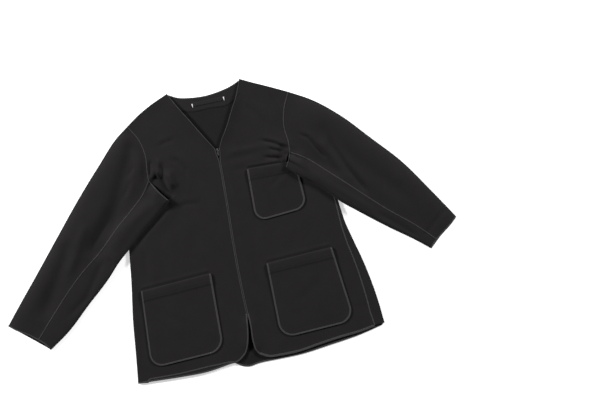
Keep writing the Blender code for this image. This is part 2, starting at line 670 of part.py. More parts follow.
def make_slider():
    """Two plates on a post, with the bridge that holds the pull tab."""
    x, y = PULL_PIVOT
    half = SLIDER_WIDTH / 2
    head = SLIDER_FOOT + SLIDER_LENGTH
    upper = box_mesh(
        "zip_slider", (x - half, SLIDER_FOOT, SLIDER_UPPER[0]), (x + half, head, SLIDER_UPPER[1])
    )
    slider = link("zip_slider", upper, "zip_metal")
    boolean(slider, "UNION", "lower_plate",
            (x - half, SLIDER_FOOT, SLIDER_UNDER[0]), (x + half, head, SLIDER_UNDER[1]))
    post, foot, top = SLIDER_POST / 2, SLIDER_UNDER[1] - JOIN, SLIDER_UPPER[0] + JOIN
    boolean(slider, "UNION", "post",
            (x - post, head - JOIN - POST_LENGTH, foot), (x + post, head - JOIN, top))
    arm, reach = BRIDGE_WIDTH / 2, BRIDGE_LENGTH / 2
    deck = SLIDER_UPPER[1]
    boolean(slider, "UNION", "bridge",
            (x - arm, y - reach, deck - JOIN), (x + arm, y + reach, deck + BRIDGE_RISE))
    open_arm, open_reach = arm + THROUGH, reach - BRIDGE_WALL
    boolean(slider, "DIFFERENCE", "bridge_hole", (x - open_arm, y - open_reach, deck),
            (x + open_arm, y + open_reach, deck + BRIDGE_RISE - BRIDGE_WALL))
    return slider


def make_pull():
    """The pull tab, with its pivot at its own origin."""
    half = PULL_WIDTH / 2
    thick = PULL_THICKNESS / 2
    tab = box_mesh("zip_pull", (-half, -PULL_LENGTH, -thick), (half, PULL_BAR, thick))
    pull = link("zip_pull", tab, "zip_metal")
    pull.location = (PULL_PIVOT.x * MM, PULL_PIVOT.y * MM, PULL_PIVOT_HEIGHT * MM)
    arm = PULL_HOLE_WIDTH / 2
    hole = boolean(pull, "DIFFERENCE", "pull_hole",
                   (-arm, -PULL_HOLE_LENGTH, -THROUGH), (arm, -PULL_BAR, THROUGH))
    hole.parent = pull
    round_edges(pull, PULL_ROUNDING)
    return pull


def make_zip_box():
    """The box that holds the foot of the open-ended zip together."""
    width, length, depth = ZIP_BOX
    top = ZIP_TAPE_FOOT - ZIP_BOX_GAP
    x = float(zip_x(top))
    low = (x - width / 2, top - length, ZIP_TAPE_MID - depth / 2)
    high = (x + width / 2, top, ZIP_TAPE_MID + depth / 2)
    box = link("zip_box", box_mesh("zip_box", low, high), "zip_metal")
    round_edges(box, ZIP_BOX_ROUNDING)
    return box


def clear_scene():
    for obj in list(bpy.data.objects):
        bpy.data.objects.remove(obj, do_unlink=True)
    for name in ("jacket", "cutters"):
        collection = bpy.data.collections.new(name)
        bpy.context.scene.collection.children.link(collection)


def main():
    clear_scene()
    make_back()
    make_front("front_right", RIGHT_SIDE, RIGHT_HEM, RIGHT_CORNER, RIGHT_NECKLINE,
               RIGHT_ARMHOLE, RIGHT_TIP, RIGHT_SHOULDER, True)
    make_front("front_left", LEFT_SIDE, LEFT_HEM, LEFT_CORNER, LEFT_NECKLINE,
               LEFT_ARMHOLE, LEFT_TIP, LEFT_SHOULDER, False)
    for name, data in SLEEVES.items():
        make_top_sleeve(name, data)
        make_under_sleeve(name, data)
    for pocket in POCKETS:
        make_pocket(pocket)
    make_facing()
    make_label_tape()
    make_zip_tape("zip_tape_right", -1)
    make_zip_tape("zip_tape_left", 1)
    make_slider()
    make_pull()
    make_zip_box()


main()
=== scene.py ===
# %% [markdown]
# A short collarless jacket of thick double jersey, laid flat on its back on a white surface.
# Every seam is a flatlock: the cut edges meet side by side and a broad ladder of thread covers them.
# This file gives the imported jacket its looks. Each solid of cloth is made again from the same
# outlines with far more points, so that soft creases fit in it. Then come the seams and their
# thread, the zip, the finishes, and the light.

import math
from collections import namedtuple

import bmesh
import bpy
import numpy as np
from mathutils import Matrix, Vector
from mathutils.bvhtree import BVHTree


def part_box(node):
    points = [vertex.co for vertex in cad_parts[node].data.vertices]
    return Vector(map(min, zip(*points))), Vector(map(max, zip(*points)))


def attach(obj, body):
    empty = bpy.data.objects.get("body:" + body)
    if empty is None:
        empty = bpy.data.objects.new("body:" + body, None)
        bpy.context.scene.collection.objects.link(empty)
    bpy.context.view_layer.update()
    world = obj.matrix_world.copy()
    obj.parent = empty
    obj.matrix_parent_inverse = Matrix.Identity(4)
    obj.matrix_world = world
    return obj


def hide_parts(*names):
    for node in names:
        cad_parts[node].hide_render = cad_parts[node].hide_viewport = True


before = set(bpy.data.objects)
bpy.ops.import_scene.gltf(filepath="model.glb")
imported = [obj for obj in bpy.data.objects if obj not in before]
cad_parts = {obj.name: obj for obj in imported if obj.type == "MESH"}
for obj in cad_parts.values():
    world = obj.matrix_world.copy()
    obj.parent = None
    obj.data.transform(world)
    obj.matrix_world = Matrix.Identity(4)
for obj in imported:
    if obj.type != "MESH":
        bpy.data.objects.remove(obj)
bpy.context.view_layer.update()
MM = 0.001
GARMENT = "garment"
PULL_BODY = "pull_tab"

# %% [markdown]
# The camera looks straight down, as the photograph does, and the jacket is turned twelve degrees
# in its frame. A lens with a long throw keeps the far sleeve as large as the near one. It is made
# first because everything after it is judged through it.

# %% Camera
CAMERA_PLACE = (0.173, 0.026, 2.4)
CAMERA_TURN = -12.0
VIEW_WIDTH = 1.529  # metres across the picture
SENSOR = 36.0

camera_data = bpy.data.cameras.new("overhead")
camera_data.sensor_width = SENSOR
camera_data.lens = SENSOR * CAMERA_PLACE[2] / VIEW_WIDTH
camera = bpy.data.objects.new("overhead", camera_data)
camera.location = CAMERA_PLACE
camera.rotation_euler = (0, 0, math.radians(CAMERA_TURN))
bpy.context.scene.collection.objects.link(camera)
bpy.context.scene.camera = camera
print("lens", round(camera_data.lens, 2), "mm")

# %% [markdown]
# A pattern cutter works from outlines. These are the same ones as the solids', in millimetres:
# +X runs to the wearer's left and +Y from the hem to the neck. Keeping the tables short and in
# real sizes means that one number moves one thing, and a smooth curve does the rest.

# %% Walls, heights and outlines
CLOTH = 1.5
TAPE = 1.0
FACING = 0.5
SEAM_GAP = 0.3
HALF_GAP = SEAM_GAP / 2
SLEEVE_HALF_GAP = 0.3
FOLD = 1.6  # radius of a fold, to the middle of the wall
FOLD_STEPS = 8
EDGE = CLOTH / 2 + FOLD
BACK_MID = CLOTH / 2
FRONT_MID = BACK_MID + 2 * FOLD
FACING_MID = CLOTH + 0.06 + FACING / 2
LABEL_MID = FACING_MID + FACING + 0.1
ZIP_TAPE_MID = 3.4
ZIP_LIFT = 1.2
ZIP_LIFT_WIDTH = 45.0
POCKET_MID = FRONT_MID + CLOTH + SEAM_GAP + 0.1
POCKET_FOLD = (CLOTH + SEAM_GAP) / 2
SLEEVE_REST = FRONT_MID + CLOTH + SEAM_GAP + 0.15
POCKET_STACK = 3.6
SIDE_WRAP = [(0, 23), (0.1, 25.5), (0.35, 20.5), (0.6, 14.5), (0.75, 7), (1, 2)]  # share up the side, reach
SHOULDER_WRAP = 2.0
TIP_LAP = 4.5

Point = namedtuple("Point", "x y")


def outline(*places):
    return [Point(*place) for place in places]


RIGHT_SIDE = outline((-322, -321), (-312, -250), (-301, -161), (-284, -60), (-274, 16), (-269, 62))
LEFT_SIDE = outline((324, -299), (321, -252), (312, -180), (301, -122), (289, -74), (278, -28), (273, 28),
                    (268, 72))
RIGHT_SHOULDER = outline((-213, 325), (-177, 349), (-147, 365), (-97, 386))
LEFT_SHOULDER = outline((206, 327), (163, 349), (116, 372), (91, 385))
BACK_NECK = outline((-93, 382), (-68, 369), (-43, 364), (-4, 361), (36, 365), (63, 371), (87, 382))
RIGHT_ARMHOLE = outline((-213, 325), (-191, 284), (-183, 240), (-187, 200), (-188, 178))
RIGHT_TIP = outline((-188, 178), (-168, 144), (-150, 120))
RIGHT_BACK_ARMHOLE = outline((-213, 325), (-194, 275), (-189, 228), (-198, 175), (-224, 112), (-269, 62))
LEFT_ARMHOLE = outline((206, 327), (186, 285), (177, 240), (180, 200), (178, 176))
LEFT_TIP = outline((178, 176), (170, 155), (162, 140))
LEFT_BACK_ARMHOLE = outline((206, 327), (188, 280), (182, 232), (191, 178), (218, 118), (268, 72))
RIGHT_NECKLINE = outline((-5.2, 222), (-17, 242), (-36, 275), (-55, 309), (-74, 342), (-96, 384))
LEFT_NECKLINE = outline((4.0, 222), (15, 243), (30, 266), (56, 313), (72, 341), (90, 383))
ZIP_LINE = outline((-13, -204), (-13.4, -135), (-10.5, -30), (-4.5, 96), (-1.4, 180), (-0.6, 222))
ZIP_HALF_GAP = 0.5
ZIP_TOP_HALF_GAP = 4.6
ZIP_TOP_LENGTH = 36.0
RIGHT_CORNER = outline((-38, -303), (-30, -289), (-23, -267), (-19, -247), (-13.5, -204))
LEFT_CORNER = outline((-3, -313), (-11, -300), (-14, -278), (-12, -236), (-12.5, -204))
RIGHT_HEM = outline((-322, -321), (-268, -324), (-216, -327), (-137, -328), (-83, -321), (-59, -318),
                    (-38, -303))
LEFT_HEM = outline((324, -299), (260, -310), (207, -314), (153, -320), (99, -327), (46, -327), (20, -325),
                   (-3, -313))
BACK_HEM = outline((-322, -316), (-216, -320), (-110, -318), (-72, -320), (-55, -332), (-38, -337),
                   (-10, -334), (45, -334), (97, -334), (178, -326), (258, -316), (324, -302))
RIGHT_OUTER = outline((-213, 325), (-244, 303), (-304, 243), (-372, 171), (-441, 92), (-510, 12),
                      (-580, -68), (-615, -109))
RIGHT_FRONT_SEAM = outline((-188, 178), (-210, 147), (-241, 119), (-284, 84), (-346, 28), (-411, -23),
                           (-480, -89), (-547, -160))
RIGHT_LOWER = outline((-150, 120), (-178, 93), (-206, 71), (-235, 50), (-273, 17), (-301, -6),
                      (-340, -45), (-402, -98), (-467, -155), (-521, -191))
RIGHT_HIND_SEAM = outline((-269, 62), (-320, 18), (-372, -34), (-460, -112), (-552, -163))
RIGHT_CUFF_OUTER = outline((-615, -109), (-592, -127), (-569, -142), (-547, -160))
RIGHT_CUFF_INNER = outline((-547, -160), (-534, -172), (-521, -191))
LEFT_OUTER = outline((206, 327), (257, 297), (323, 241), (387, 169), (450, 96), (509, 7), (559, -73))
LEFT_FRONT_SEAM = outline((178, 176), (213, 154), (257, 113), (322, 49), (387, -15), (453, -73),
                          (499, -120))
LEFT_LOWER = outline((162, 140), (195, 106), (235, 72), (278, 26), (322, -12), (389, -67), (445, -110),
                     (480, -140))
LEFT_HIND_SEAM = outline((268, 72), (318, 22), (370, -24), (440, -82), (508, -114))
LEFT_CUFF_OUTER = outline((559, -73), (541, -89), (522, -103), (499, -120))
LEFT_CUFF_INNER = outline((499, -120), (489, -129), (480, -140))
SLEEVE_RAMP = 60.0
UNDERARM_RAMP = 36.0
POCKET_RAMP = 24.0
STATION_GRADING = 1.35
ARMHOLE_RAMP = {"right": 34.0, "left": 72.0}

Pocket = namedtuple("Pocket", "name top_left top_right bottom_right bottom_left radius")
POCKETS = [
    Pocket("pocket_right", Point(-265, -92), Point(-83, -84), Point(-90, -283), Point(-280, -290), 36),
    Pocket("pocket_left", Point(62, -89), Point(232, -83), Point(251, -277), Point(59, -284), 38),
    Pocket("pocket_chest", Point(63, 156), Point(188, 151), Point(192, 29), Point(58, 20), 30),
]
POCKET_BAND = 26.0
POCKET_BAND_FADE = 3.0
POCKET_TURN = 0.86

FACING_LOWER = outline((-112, 362), (-82, 342), (-53, 329), (0, 327), (52, 327), (80, 342), (106, 361))
FACING_UPPER = outline((-104, 375), (-88, 377), (-68, 367), (-43, 362), (-4, 359), (36, 363), (63, 369),
                       (83, 377), (99, 374))
LABEL_LENGTH = 88.0
LABEL_WIDTH = 10.0
LABEL_CENTRE = Point(-0.5, 345.5)
ZIP_TAPE_WIDTH = 13.0
ZIP_TAPE_HALF_GAP = 1.0
ZIP_TAPE_TOP = 216.0
ZIP_TAPE_FOOT = -204.0
print("hem", RIGHT_SIDE[0], LEFT_SIDE[0], "pockets", len(POCKETS))

# %% [markdown]
# A seam is a smooth curve through a few points. Cubic pieces that share their slopes give one,
# and reading it at even steps gives the stations of a grid. A panel is then a Coons patch: four
# border curves, with the inside blended from them, so neighbours that share a border stay
# exactly beside each other however fine the grid is.

# %% Curves and patches
def smooth(value):
    """0 below 0, 1 above 1 and an even slope between."""
    value = np.clip(value, 0.0, 1.0)
    return value * value * (3 - 2 * value)


def run_along(curve):
    return np.concatenate([[0.0], np.cumsum(np.linalg.norm(np.diff(curve, axis=0), axis=1))])


def spline(points, segments):
    """Points spaced evenly along a smooth curve through the given ones."""
    points = np.array(points, float)
    at = run_along(points)
    slopes = np.gradient(points, at, axis=0)
    fine = []
    for i, length in enumerate(np.diff(at)):
        f = np.linspace(0, 1, 24, endpoint=False)[:, None]
        start = (2 * f**3 - 3 * f**2 + 1) * points[i] + (f**3 - 2 * f**2 + f) * length * slopes[i]
        end = (3 * f**2 - 2 * f**3) * points[i + 1] + (f**3 - f**2) * length * slopes[i + 1]
        fine.append(start + end)
    fine = np.vstack([*fine, points[-1:]])
    return resampled(fine, np.linspace(0, 1, segments + 1))


def resampled(curve, shares):
    """The curve's points at these shares of its length."""
    run = run_along(curve)
    return np.stack([np.interp(shares * run[-1], run, curve[:, k]) for k in range(curve.shape[1])], axis=1)


def chain(*curves):
    """Curves joined end to end."""
    return np.vstack([curves[0], *(curve[1:] for curve in curves[1:])])


def towards(start, end, distance):
    """A point a distance from start on the way to end."""
    return start + (end - start) * distance / np.linalg.norm(end - start)


def normals(curve):
    """The unit vectors to the left of the way along a curve."""
    along = np.gradient(curve, axis=0)
    along /= np.linalg.norm(along, axis=1)[:, None]
    return np.stack([-along[:, 1], along[:, 0]], axis=1)


def shifted(curve, distance):
    """The curve moved to its left by a distance, which may change along it."""
    return curve + normals(curve) * np.reshape(distance, (-1, 1))


def between(curve, start, end):
    """The curve drawn again from start to end with as many points, without what lies past them."""
    forward, back = curve[1] - curve[0], curve[-1] - curve[-2]
    ahead = (curve - start) @ (forward / np.linalg.norm(forward)) > 0.8
    behind = (end - curve) @ (back / np.linalg.norm(back)) > 0.8
    middle = np.arange(len(curve))
    ahead |= middle > len(curve) // 2
    behind |= middle < len(curve) // 2
    kept = np.vstack([start, curve[ahead & behind], end])
    return resampled(kept, np.linspace(0, 1, len(curve)))


def coons(start, end, first, last):
    """A plan grid with the curves start and end as its end rows, first and last as its end columns."""
    u = np.linspace(0, 1, len(start))[None, :, None]
    first_run, last_run = run_along(first), run_along(last)
    v = ((first_run / first_run[-1] + last_run / last_run[-1]) / 2)[:, None, None]
    rows = (1 - u) * first[:, None] + u * last[:, None]
    columns = (1 - v) * start[None] + v * end[None]
    corners = (1 - v) * ((1 - u) * start[0] + u * start[-1]) + v * ((1 - u) * end[0] + u * end[-1])
    return rows + columns - corners


def raised(plan, height):
    """Plan points with their heights."""
    return np.concatenate([plan, np.broadcast_to(height, plan.shape[:-1])[..., None]], axis=-1)


def fold(edge, outward, top, bottom):
    """The sections of a fold, from the top of its curve round to the bottom, as columns of points."""
    turn = np.linspace(0, math.pi, FOLD_STEPS + 1)
    radius = ((top - bottom) / 2)[:, None]
    plan = edge[:, None] + outward[:, None] * (abs(radius) * np.sin(turn))[..., None]
    height = ((top + bottom) / 2)[:, None] + radius * np.cos(turn)
    return raised(plan, height)


print("zip is", round(float(run_along(spline(ZIP_LINE, 40))[-1])), "mm long")

# %% [markdown]
# Thick jersey never lies quite flat. It sinks in soft troughs that start where something pulls,
# here at the underarms, and it swells where it is slack. Each crease below is given: a
# path over the cloth, how deep and how wide it is, and how much of a lip stands beside it. A
# negative depth is a ridge. A simulation would drop creases where it liked, and not these ones.

# %% Creases and swells
Crease = namedtuple("Crease", "depth width lip path widen fade", defaults=(1.0, 1.0))
Swell = namedtuple("Swell", "height x y along across turn")
PICTURE_WIDTH = 600
PIXEL = VIEW_WIDTH * 1000 / PICTURE_WIDTH  # millimetres
PICTURE_ORIGIN = Point(236, 234)  # where the jacket's own origin shows in the picture


def seen(*places):
    """Places in the picture, across and down in pixels, as millimetres in the jacket's frame."""
    turn = math.radians(CAMERA_TURN)
    found = []
    for across, down in places:
        dx, dy = across - PICTURE_ORIGIN.x, PICTURE_ORIGIN.y - down
        found.append(Point(PIXEL * (dx * math.cos(turn) - dy * math.sin(turn)),
                           PIXEL * (dx * math.sin(turn) + dy * math.cos(turn))))
    return found


BODY_CREASES = [
    # pulled towards the wearer's right underarm
    Crease(4.6, 6.0, 0.5, seen((162, 162), (163, 174), (164, 186), (168, 197)), widen=1.8),
    Crease(7.0, 11.0, 0.0, seen((152, 178), (161, 187), (172, 199)), fade=2.5),
    Crease(2.2, 7.0, 0.0, seen((172, 202), (154, 223), (134, 246)), fade=3.0),
    Crease(3.2, 5.0, 0.0, seen((150.5, 160), (150.5, 169), (150.5, 178))),
    Crease(2.0, 5.0, 0.0, seen((155, 168), (157, 176), (160, 184))),
    Crease(-3.4, 9.0, 0.0, seen((151, 171), (160, 173), (169, 178), (176, 188)), fade=2.0),
    Crease(-1.6, 8.0, 0.0, seen((158, 157), (159, 169), (160, 180))),
    Crease(-2.2, 10.0, 0.0, seen((170, 168), (172, 181), (174, 192))),
    Crease(1.8, 7.0, 0.6, seen((169, 157), (178, 162), (185, 170), (189, 182))),
    Crease(1.1, 6.0, 0.4, seen((158, 147), (167, 142), (177, 139))),
    Crease(1.0, 7.0, 0.4, seen((176, 207), (188, 204), (204, 203))),
    Crease(1.2, 20.0, 0.0, seen((182, 203), (172, 224), (154, 246))),
    Crease(0.9, 8.0, 0.4, seen((146, 250), (146, 264), (150, 284))),
    Crease(0.6, 14.0, 0.3, seen((196, 236), (192, 262), (198, 280))),
    # pulled towards the wearer's left underarm
    Crease(3.2, 4.5, 0.8, seen((259, 140), (274, 143), (290, 149))),
    Crease(3.0, 4.0, 0.6, seen((267, 148), (279, 151), (290, 155))),
    Crease(2.8, 4.5, 0.6, seen((262, 157), (277, 158), (289, 162))),
    Crease(5.5, 9.0, 0.0, seen((284, 144), (283, 155), (282, 166)), fade=1.6),
    Crease(-1.0, 7.0, 0.0, seen((226, 153), (245, 149), (262, 146), (276, 146))),
    Crease(0.7, 7.0, 0.2, seen((217, 162), (240, 157), (264, 152))),
    Crease(0.8, 8.0, 0.3, seen((230, 171), (248, 168), (268, 166))),
    Crease(0.8, 9.0, 0.4, seen((243, 104), (256, 114), (270, 128))),
    Crease(0.7, 12.0, 0.4, seen((300, 226), (306, 244), (316, 258))),
    Crease(0.6, 14.0, 0.3, seen((250, 230), (258, 262), (262, 300))),
    Crease(-1.8, 4.5, 0.0, seen((338.5, 206), (358.5, 262), (377.5, 317)), fade=4.0),
    Crease(-0.8, 7.0, 0.0, seen((132, 254), (135, 310), (140, 370)), fade=4.0),
]
BODY_SWELLS = [
    Swell(1.5, -120, 290, 90, 40, 30), Swell(1.0, -190, 40, 110, 50, 80), Swell(0.8, -60, 120, 120, 50, 85),
    Swell(0.9, -180, -190, 90, 70, 10), Swell(1.2, 120, 300, 80, 38, -35), Swell(0.9, 230, 20, 100, 45, 100),
    Swell(0.8, 40, 90, 120, 40, 95), Swell(0.8, 160, -190, 90, 70, -10), Swell(0.7, -70, -250, 70, 40, 70),
    Swell(4.2, -142, 196, 62, 56, 0), Swell(3.6, 148, 188, 50, 36, 0),
]
SLEEVE_CREASES = {
    "right": [
        Crease(5.0, 16.0, 0.0, seen((132, 138), (131, 156), (124, 183), (115, 211), (103, 237), (92, 260)),
               widen=1.7, fade=3.0),
        Crease(3.0, 13.0, 0.0, seen((70, 238), (67, 254), (58, 281), (47, 309), (42, 322)), widen=1.8,
               fade=2.0),
        Crease(-1.6, 11.0, 0.0, seen((86, 222), (77, 256), (68, 278)), fade=1.6),
        Crease(1.2, 5.0, 0.3, seen((134, 166), (131, 173), (129, 178))),
        Crease(1.2, 6.0, 0.3, seen((131, 180), (128, 190), (123, 200))),
        Crease(1.5, 9.0, 0.2, seen((106, 258), (99, 271), (88, 297), (67, 319)), fade=1.8),
        Crease(-1.2, 14.0, 0.0, seen((150, 200), (134, 222), (112, 250)), fade=2.0),
        Crease(1.6, 5.0, 0.3, seen((108, 257), (112, 264), (115, 272))),
    ],
    "left": [
        Crease(2.2, 5.0, 0.5, seen((297, 133), (308, 138), (316, 147), (328, 159)), fade=1.6),
        Crease(3.4, 6.5, 0.6, seen((328, 134), (332, 146), (347, 167), (364, 188), (370, 196)), widen=1.2,
               fade=1.8),
        Crease(-2.2, 9.0, 0.0, seen((318, 138), (327, 150), (340, 169), (352, 184)), fade=1.6),
        Crease(3.4, 20.0, 0.0, seen((314, 122), (334, 143), (352, 158), (374, 174), (398, 190), (414, 208)),
               fade=2.0),
        Crease(1.6, 8.0, 0.2, seen((376, 212), (394, 222), (406, 229), (420, 238)), fade=1.8),
        Crease(-1.6, 9.0, 0.0, seen((306, 170), (340, 190), (376, 212)), fade=1.6),
        Crease(1.2, 5.0, 0.2, seen((424, 236), (434, 223), (446, 208)), fade=3.0),
    ],
}
MOUTH_CREASE = (1.0, 3.0, 1.0)  # the dip and the lip of the body above a pocket's mouth
SINK_LIMIT = 1.45  # a front can sink this far before it meets the back
EDGE_CURL = 2.6  # how far a free edge stands up
EDGE_CURL_WIDTH = 15.0
ZIP_CLEAR = 9.0  # nothing is creased this near the slider


def path_distance(x, y, path):
    """The signed distance to a path, positive on its left, and the share of it that is passed."""
    points = np.array(path, float)
    run = run_along(points)
    nearest = np.full(x.shape, 1e9)
    passed = np.zeros(x.shape)
    for i in range(len(points) - 1):
        (x0, y0), (dx, dy) = points[i], points[i + 1] - points[i]
        length = math.hypot(dx, dy)
        t = np.clip(((x - x0) * dx + (y - y0) * dy) / length**2, 0, 1)
        away = np.hypot(x - x0 - t * dx, y - y0 - t * dy)
        side = np.where((dx * (y - y0) - dy * (x - x0)) >= 0, 1, -1)
        closer = away < abs(nearest)
        nearest = np.where(closer, away * side, nearest)
        passed = np.where(closer, (run[i] + t * length) / run[-1], passed)
    return nearest, passed


def crease_relief(plan, creases):
    x, y = plan[..., 0], plan[..., 1]
    total = np.zeros(x.shape)
    for crease in creases:
        away, passed = path_distance(x, y, crease.path)
        fade = smooth(np.minimum(passed * 3.2, (1 - passed) * 2.4) * crease.fade + 0.12)
        growth = 1 + (crease.widen - 1) * passed
        width = crease.width * growth
        trough = -crease.depth * growth**0.6 * np.exp(-((away / width) ** 2))
        lip = crease.lip * np.exp(-(((away - 1.9 * width) / (1.2 * width)) ** 2))
        total += fade * (trough + lip)
    return total


def swell_relief(plan, swells):
    x, y = plan[..., 0], plan[..., 1]
    total = np.zeros(x.shape)
    for swell in swells:
        turn = math.radians(swell.turn)
        dx, dy = x - swell.x, y - swell.y
        along = (dx * math.cos(turn) + dy * math.sin(turn)) / swell.along
        across = (dy * math.cos(turn) - dx * math.sin(turn)) / swell.across
        total += swell.height * np.exp(-(along**2 + across**2))
    return total


def zip_x(y):
    """Where the zip's line is at a height of the body."""
    line = spline(ZIP_LINE, 60)
    return np.interp(y, line[:, 1], line[:, 0])


def mouth_creases():
    """The dip of the body above each pocket's mouth, which makes the mouth read as a dark line."""
    depth, width, lip = MOUTH_CREASE
    return [Crease(depth, width, lip, [Point(pocket.top_left.x, pocket.top_left.y + 2),
                                       Point(pocket.top_right.x, pocket.top_right.y + 2)], fade=9.0)
            for pocket in POCKETS]


def edge_curl(plan):
    """How far the free edges at the neck and at the foot of the zip stand up."""
    curl = np.zeros(plan.shape[:-1])
    for edge in (RIGHT_NECKLINE, LEFT_NECKLINE, RIGHT_CORNER, LEFT_CORNER):
        away, passed = path_distance(plan[..., 0], plan[..., 1], edge)
        ends = smooth(passed * 4) * smooth((1 - passed) * 3.5)
        curl = np.maximum(curl, EDGE_CURL * ends * np.exp(-((away / EDGE_CURL_WIDTH) ** 2)))
    return curl


def front_relief(plan):
    """How far the fronts rise and sink, held flat beside the zip."""
    from_zip = abs(plan[..., 0] - zip_x(plan[..., 1]))
    free = smooth((from_zip - ZIP_CLEAR) / 14) + smooth((plan[..., 1] - 250) / 20)
    relief = crease_relief(plan, BODY_CREASES + mouth_creases()) + swell_relief(plan, BODY_SWELLS)
    return np.maximum(relief, -SINK_LIMIT) * np.clip(free, 0, 1) + edge_curl(plan)


def front_height(plan):
    """The middle of a front's wall."""
    x, y = plan[..., 0], plan[..., 1]
    lift = ZIP_LIFT * np.exp(-(((x - zip_x(y)) / ZIP_LIFT_WIDTH) ** 2))
    return FRONT_MID + lift + front_relief(plan)


sample = np.array([[-153.0, 204.0], [0.0, 0.0]])
print("a crease and the zip:", front_height(sample).round(2))

# %% [markdown]
# Cloth is a thin wall. The grids are its middle surface, and Blender's Solidify modifier gives
# it its two faces and a rim, evenly thick round the folds. A narrow bevel then rounds the rim,
# because a knit edge is never sharp. Building the skin first keeps the outline exact.

# %% One piece of cloth from its grids
jacket = bpy.data.collections.new("jacket")
bpy.context.scene.collection.children.link(jacket)
pieces = {}
RIM_SHARE = 0.42  # of the wall, for the bevel on the rim
RIM_ANGLE = 60


def add_object(name, mesh, body=GARMENT):
    piece = bpy.data.objects.new(name, mesh)
    jacket.objects.link(piece)
    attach(piece, body)
    pieces[name] = piece
    return piece


def grid_faces(rows, columns, first=0):
    """The corners of every square of a grid whose points are numbered row by row."""
    index = first + np.arange(rows * columns).reshape(rows, columns)
    squares = [index[:-1, :-1], index[:-1, 1:], index[1:, 1:], index[1:, :-1]]
    return np.stack(squares, axis=-1).reshape(-1, 4)


def cloth_piece(node, grids, wall=CLOTH, finishes=None):
    """A piece of cloth that stands for a solid, from the grids of its middle surface."""
    name = f"{node}_cloth"
    points = np.vstack([grid.reshape(-1, 3) for grid in grids]) * MM
    faces, first = [], 0
    for grid in grids:
        faces.append(grid_faces(*grid.shape[:2], first))
        first += grid.shape[0] * grid.shape[1]
    mesh = bpy.data.meshes.new(name)
    mesh.from_pydata(points.tolist(), [], np.vstack(faces).tolist())
    if finishes:
        mesh.polygons.foreach_set("material_index", np.repeat(finishes, [len(part) for part in faces]))
    shape = bmesh.new()
    shape.from_mesh(mesh)
    bmesh.ops.remove_doubles(shape, verts=shape.verts, dist=1e-6)
    bmesh.ops.recalc_face_normals(shape, faces=shape.faces)
    shape.to_mesh(mesh)
    shape.free()
    mesh.shade_smooth()
    piece = add_object(name, mesh)
    shell = piece.modifiers.new("wall", "SOLIDIFY")
    shell.thickness = wall * MM
    shell.offset = 0
    shell.use_even_offset = False
    rim = piece.modifiers.new("soft_rim", "BEVEL")
    rim.width = RIM_SHARE * wall * MM
    rim.segments = 2
    rim.limit_method = "ANGLE"
    rim.angle_limit = math.radians(RIM_ANGLE)
    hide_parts(node)


ALONG = 8  # how many stations stand for one of the solids'
ACROSS = 8
BACK_ALONG = 5  # most of the back is hidden
BACK_ACROSS = 5
# the solids' stations on each stretch of an edge
CORNER, ZIP_RUN, NECKLINE, ARMHOLE = 5, 15, 7, 7
FLANK, UNDERARM, TIP, HEM = 13, 4, 3, 12

# %% [markdown]
# The fronts meet at the zip. The wearer's right front runs on round the side fold to the
# underside, and the left one ends at a seam that shows, since the back comes round there. Both
# turn over at the shoulder. One function makes the two, and a flag says which way a side goes.

# %% Fronts
def front_edge(corner, neckline, facing):
    """A front's free edge, from the hem's corner up to the shoulder. Facing is -1 right, 1 left."""
    foot = spline(corner, CORNER * ALONG)
    zip_run = spline(ZIP_LINE, ZIP_RUN * ALONG)
    parted = smooth(1 - (neckline[0].y - zip_run[:, 1]) / ZIP_TOP_LENGTH)
    zip_run[:, 0] += facing * (ZIP_HALF_GAP + (ZIP_TOP_HALF_GAP - ZIP_HALF_GAP) * parted)
    foot[-1] = zip_run[0]
    top = spline(neckline, NECKLINE * ALONG)
    zip_run[-1] = top[0]
    return chain(foot, zip_run, top)


def front_side(side, armhole, tip, inset):
    """A front's outer edge, from the hem up the side, along the underarm and up the armhole."""
    facing = 1 if side[0].x > 0 else -1
    flank = shifted(spline(side, FLANK * ALONG), facing * inset)
    share = np.linspace(0, 1, TIP * ALONG + 1)
    under = np.interp(share, [0, 1 / 3, 1], [HALF_GAP, TIP_LAP, TIP_LAP])
    lap = shifted(spline(tip, TIP * ALONG), -facing * under)[::-1]
    underarm = spline([flank[-1], lap[0]], UNDERARM * ALONG)
    upper = shifted(spline(armhole, ARMHOLE * ALONG), facing * -HALF_GAP)[::-1]
    upper[0] = lap[-1]
    return chain(flank, underarm, lap, upper)


def side_reach(count):
    """How far the wrapped panel runs on past the fold, from the hem up to the underarm."""
    shares, reach = zip(*SIDE_WRAP)
    return np.interp(np.linspace(0, 1, count), shares, reach)


def side_inset(count, wraps):
    """How far inside the side fold a panel's seam lies, from the hem up to the underarm."""
    wrap = side_reach(count)
    return EDGE + (wrap + SEAM_GAP if wraps else 0 * wrap)


def side_wrap(edge, facing, start, end):
    """A side fold and the strip that it carries on to the other layer, joined to the grid's edge."""
    outward = normals(edge) * -facing
    rows = len(edge)
    wrap = side_reach(rows)[:, None]
    steps = np.linspace(0, 1, 6)[1:]
    plan = edge[:, None] - outward[:, None] * (wrap * steps)[..., None]
    level = end(plan) if callable(end) else np.full(plan.shape[:2], end)
    fold_end = end(edge) if callable(end) else np.full(rows, end)
    curve = fold(edge, outward, start, fold_end)
    return np.concatenate([curve, raised(plan, level)], axis=1)


def shoulder_fold(edge, outward_sign):
    """The fold at the top of a front, down to the back."""
    outward = normals(edge) * outward_sign
    turn = fold(edge, outward, front_height(edge), np.full(len(edge), BACK_MID))
    flat = raised(edge - outward * SHOULDER_WRAP, BACK_MID)
    return np.concatenate([turn, flat[:, None]], axis=1).transpose(1, 0, 2)


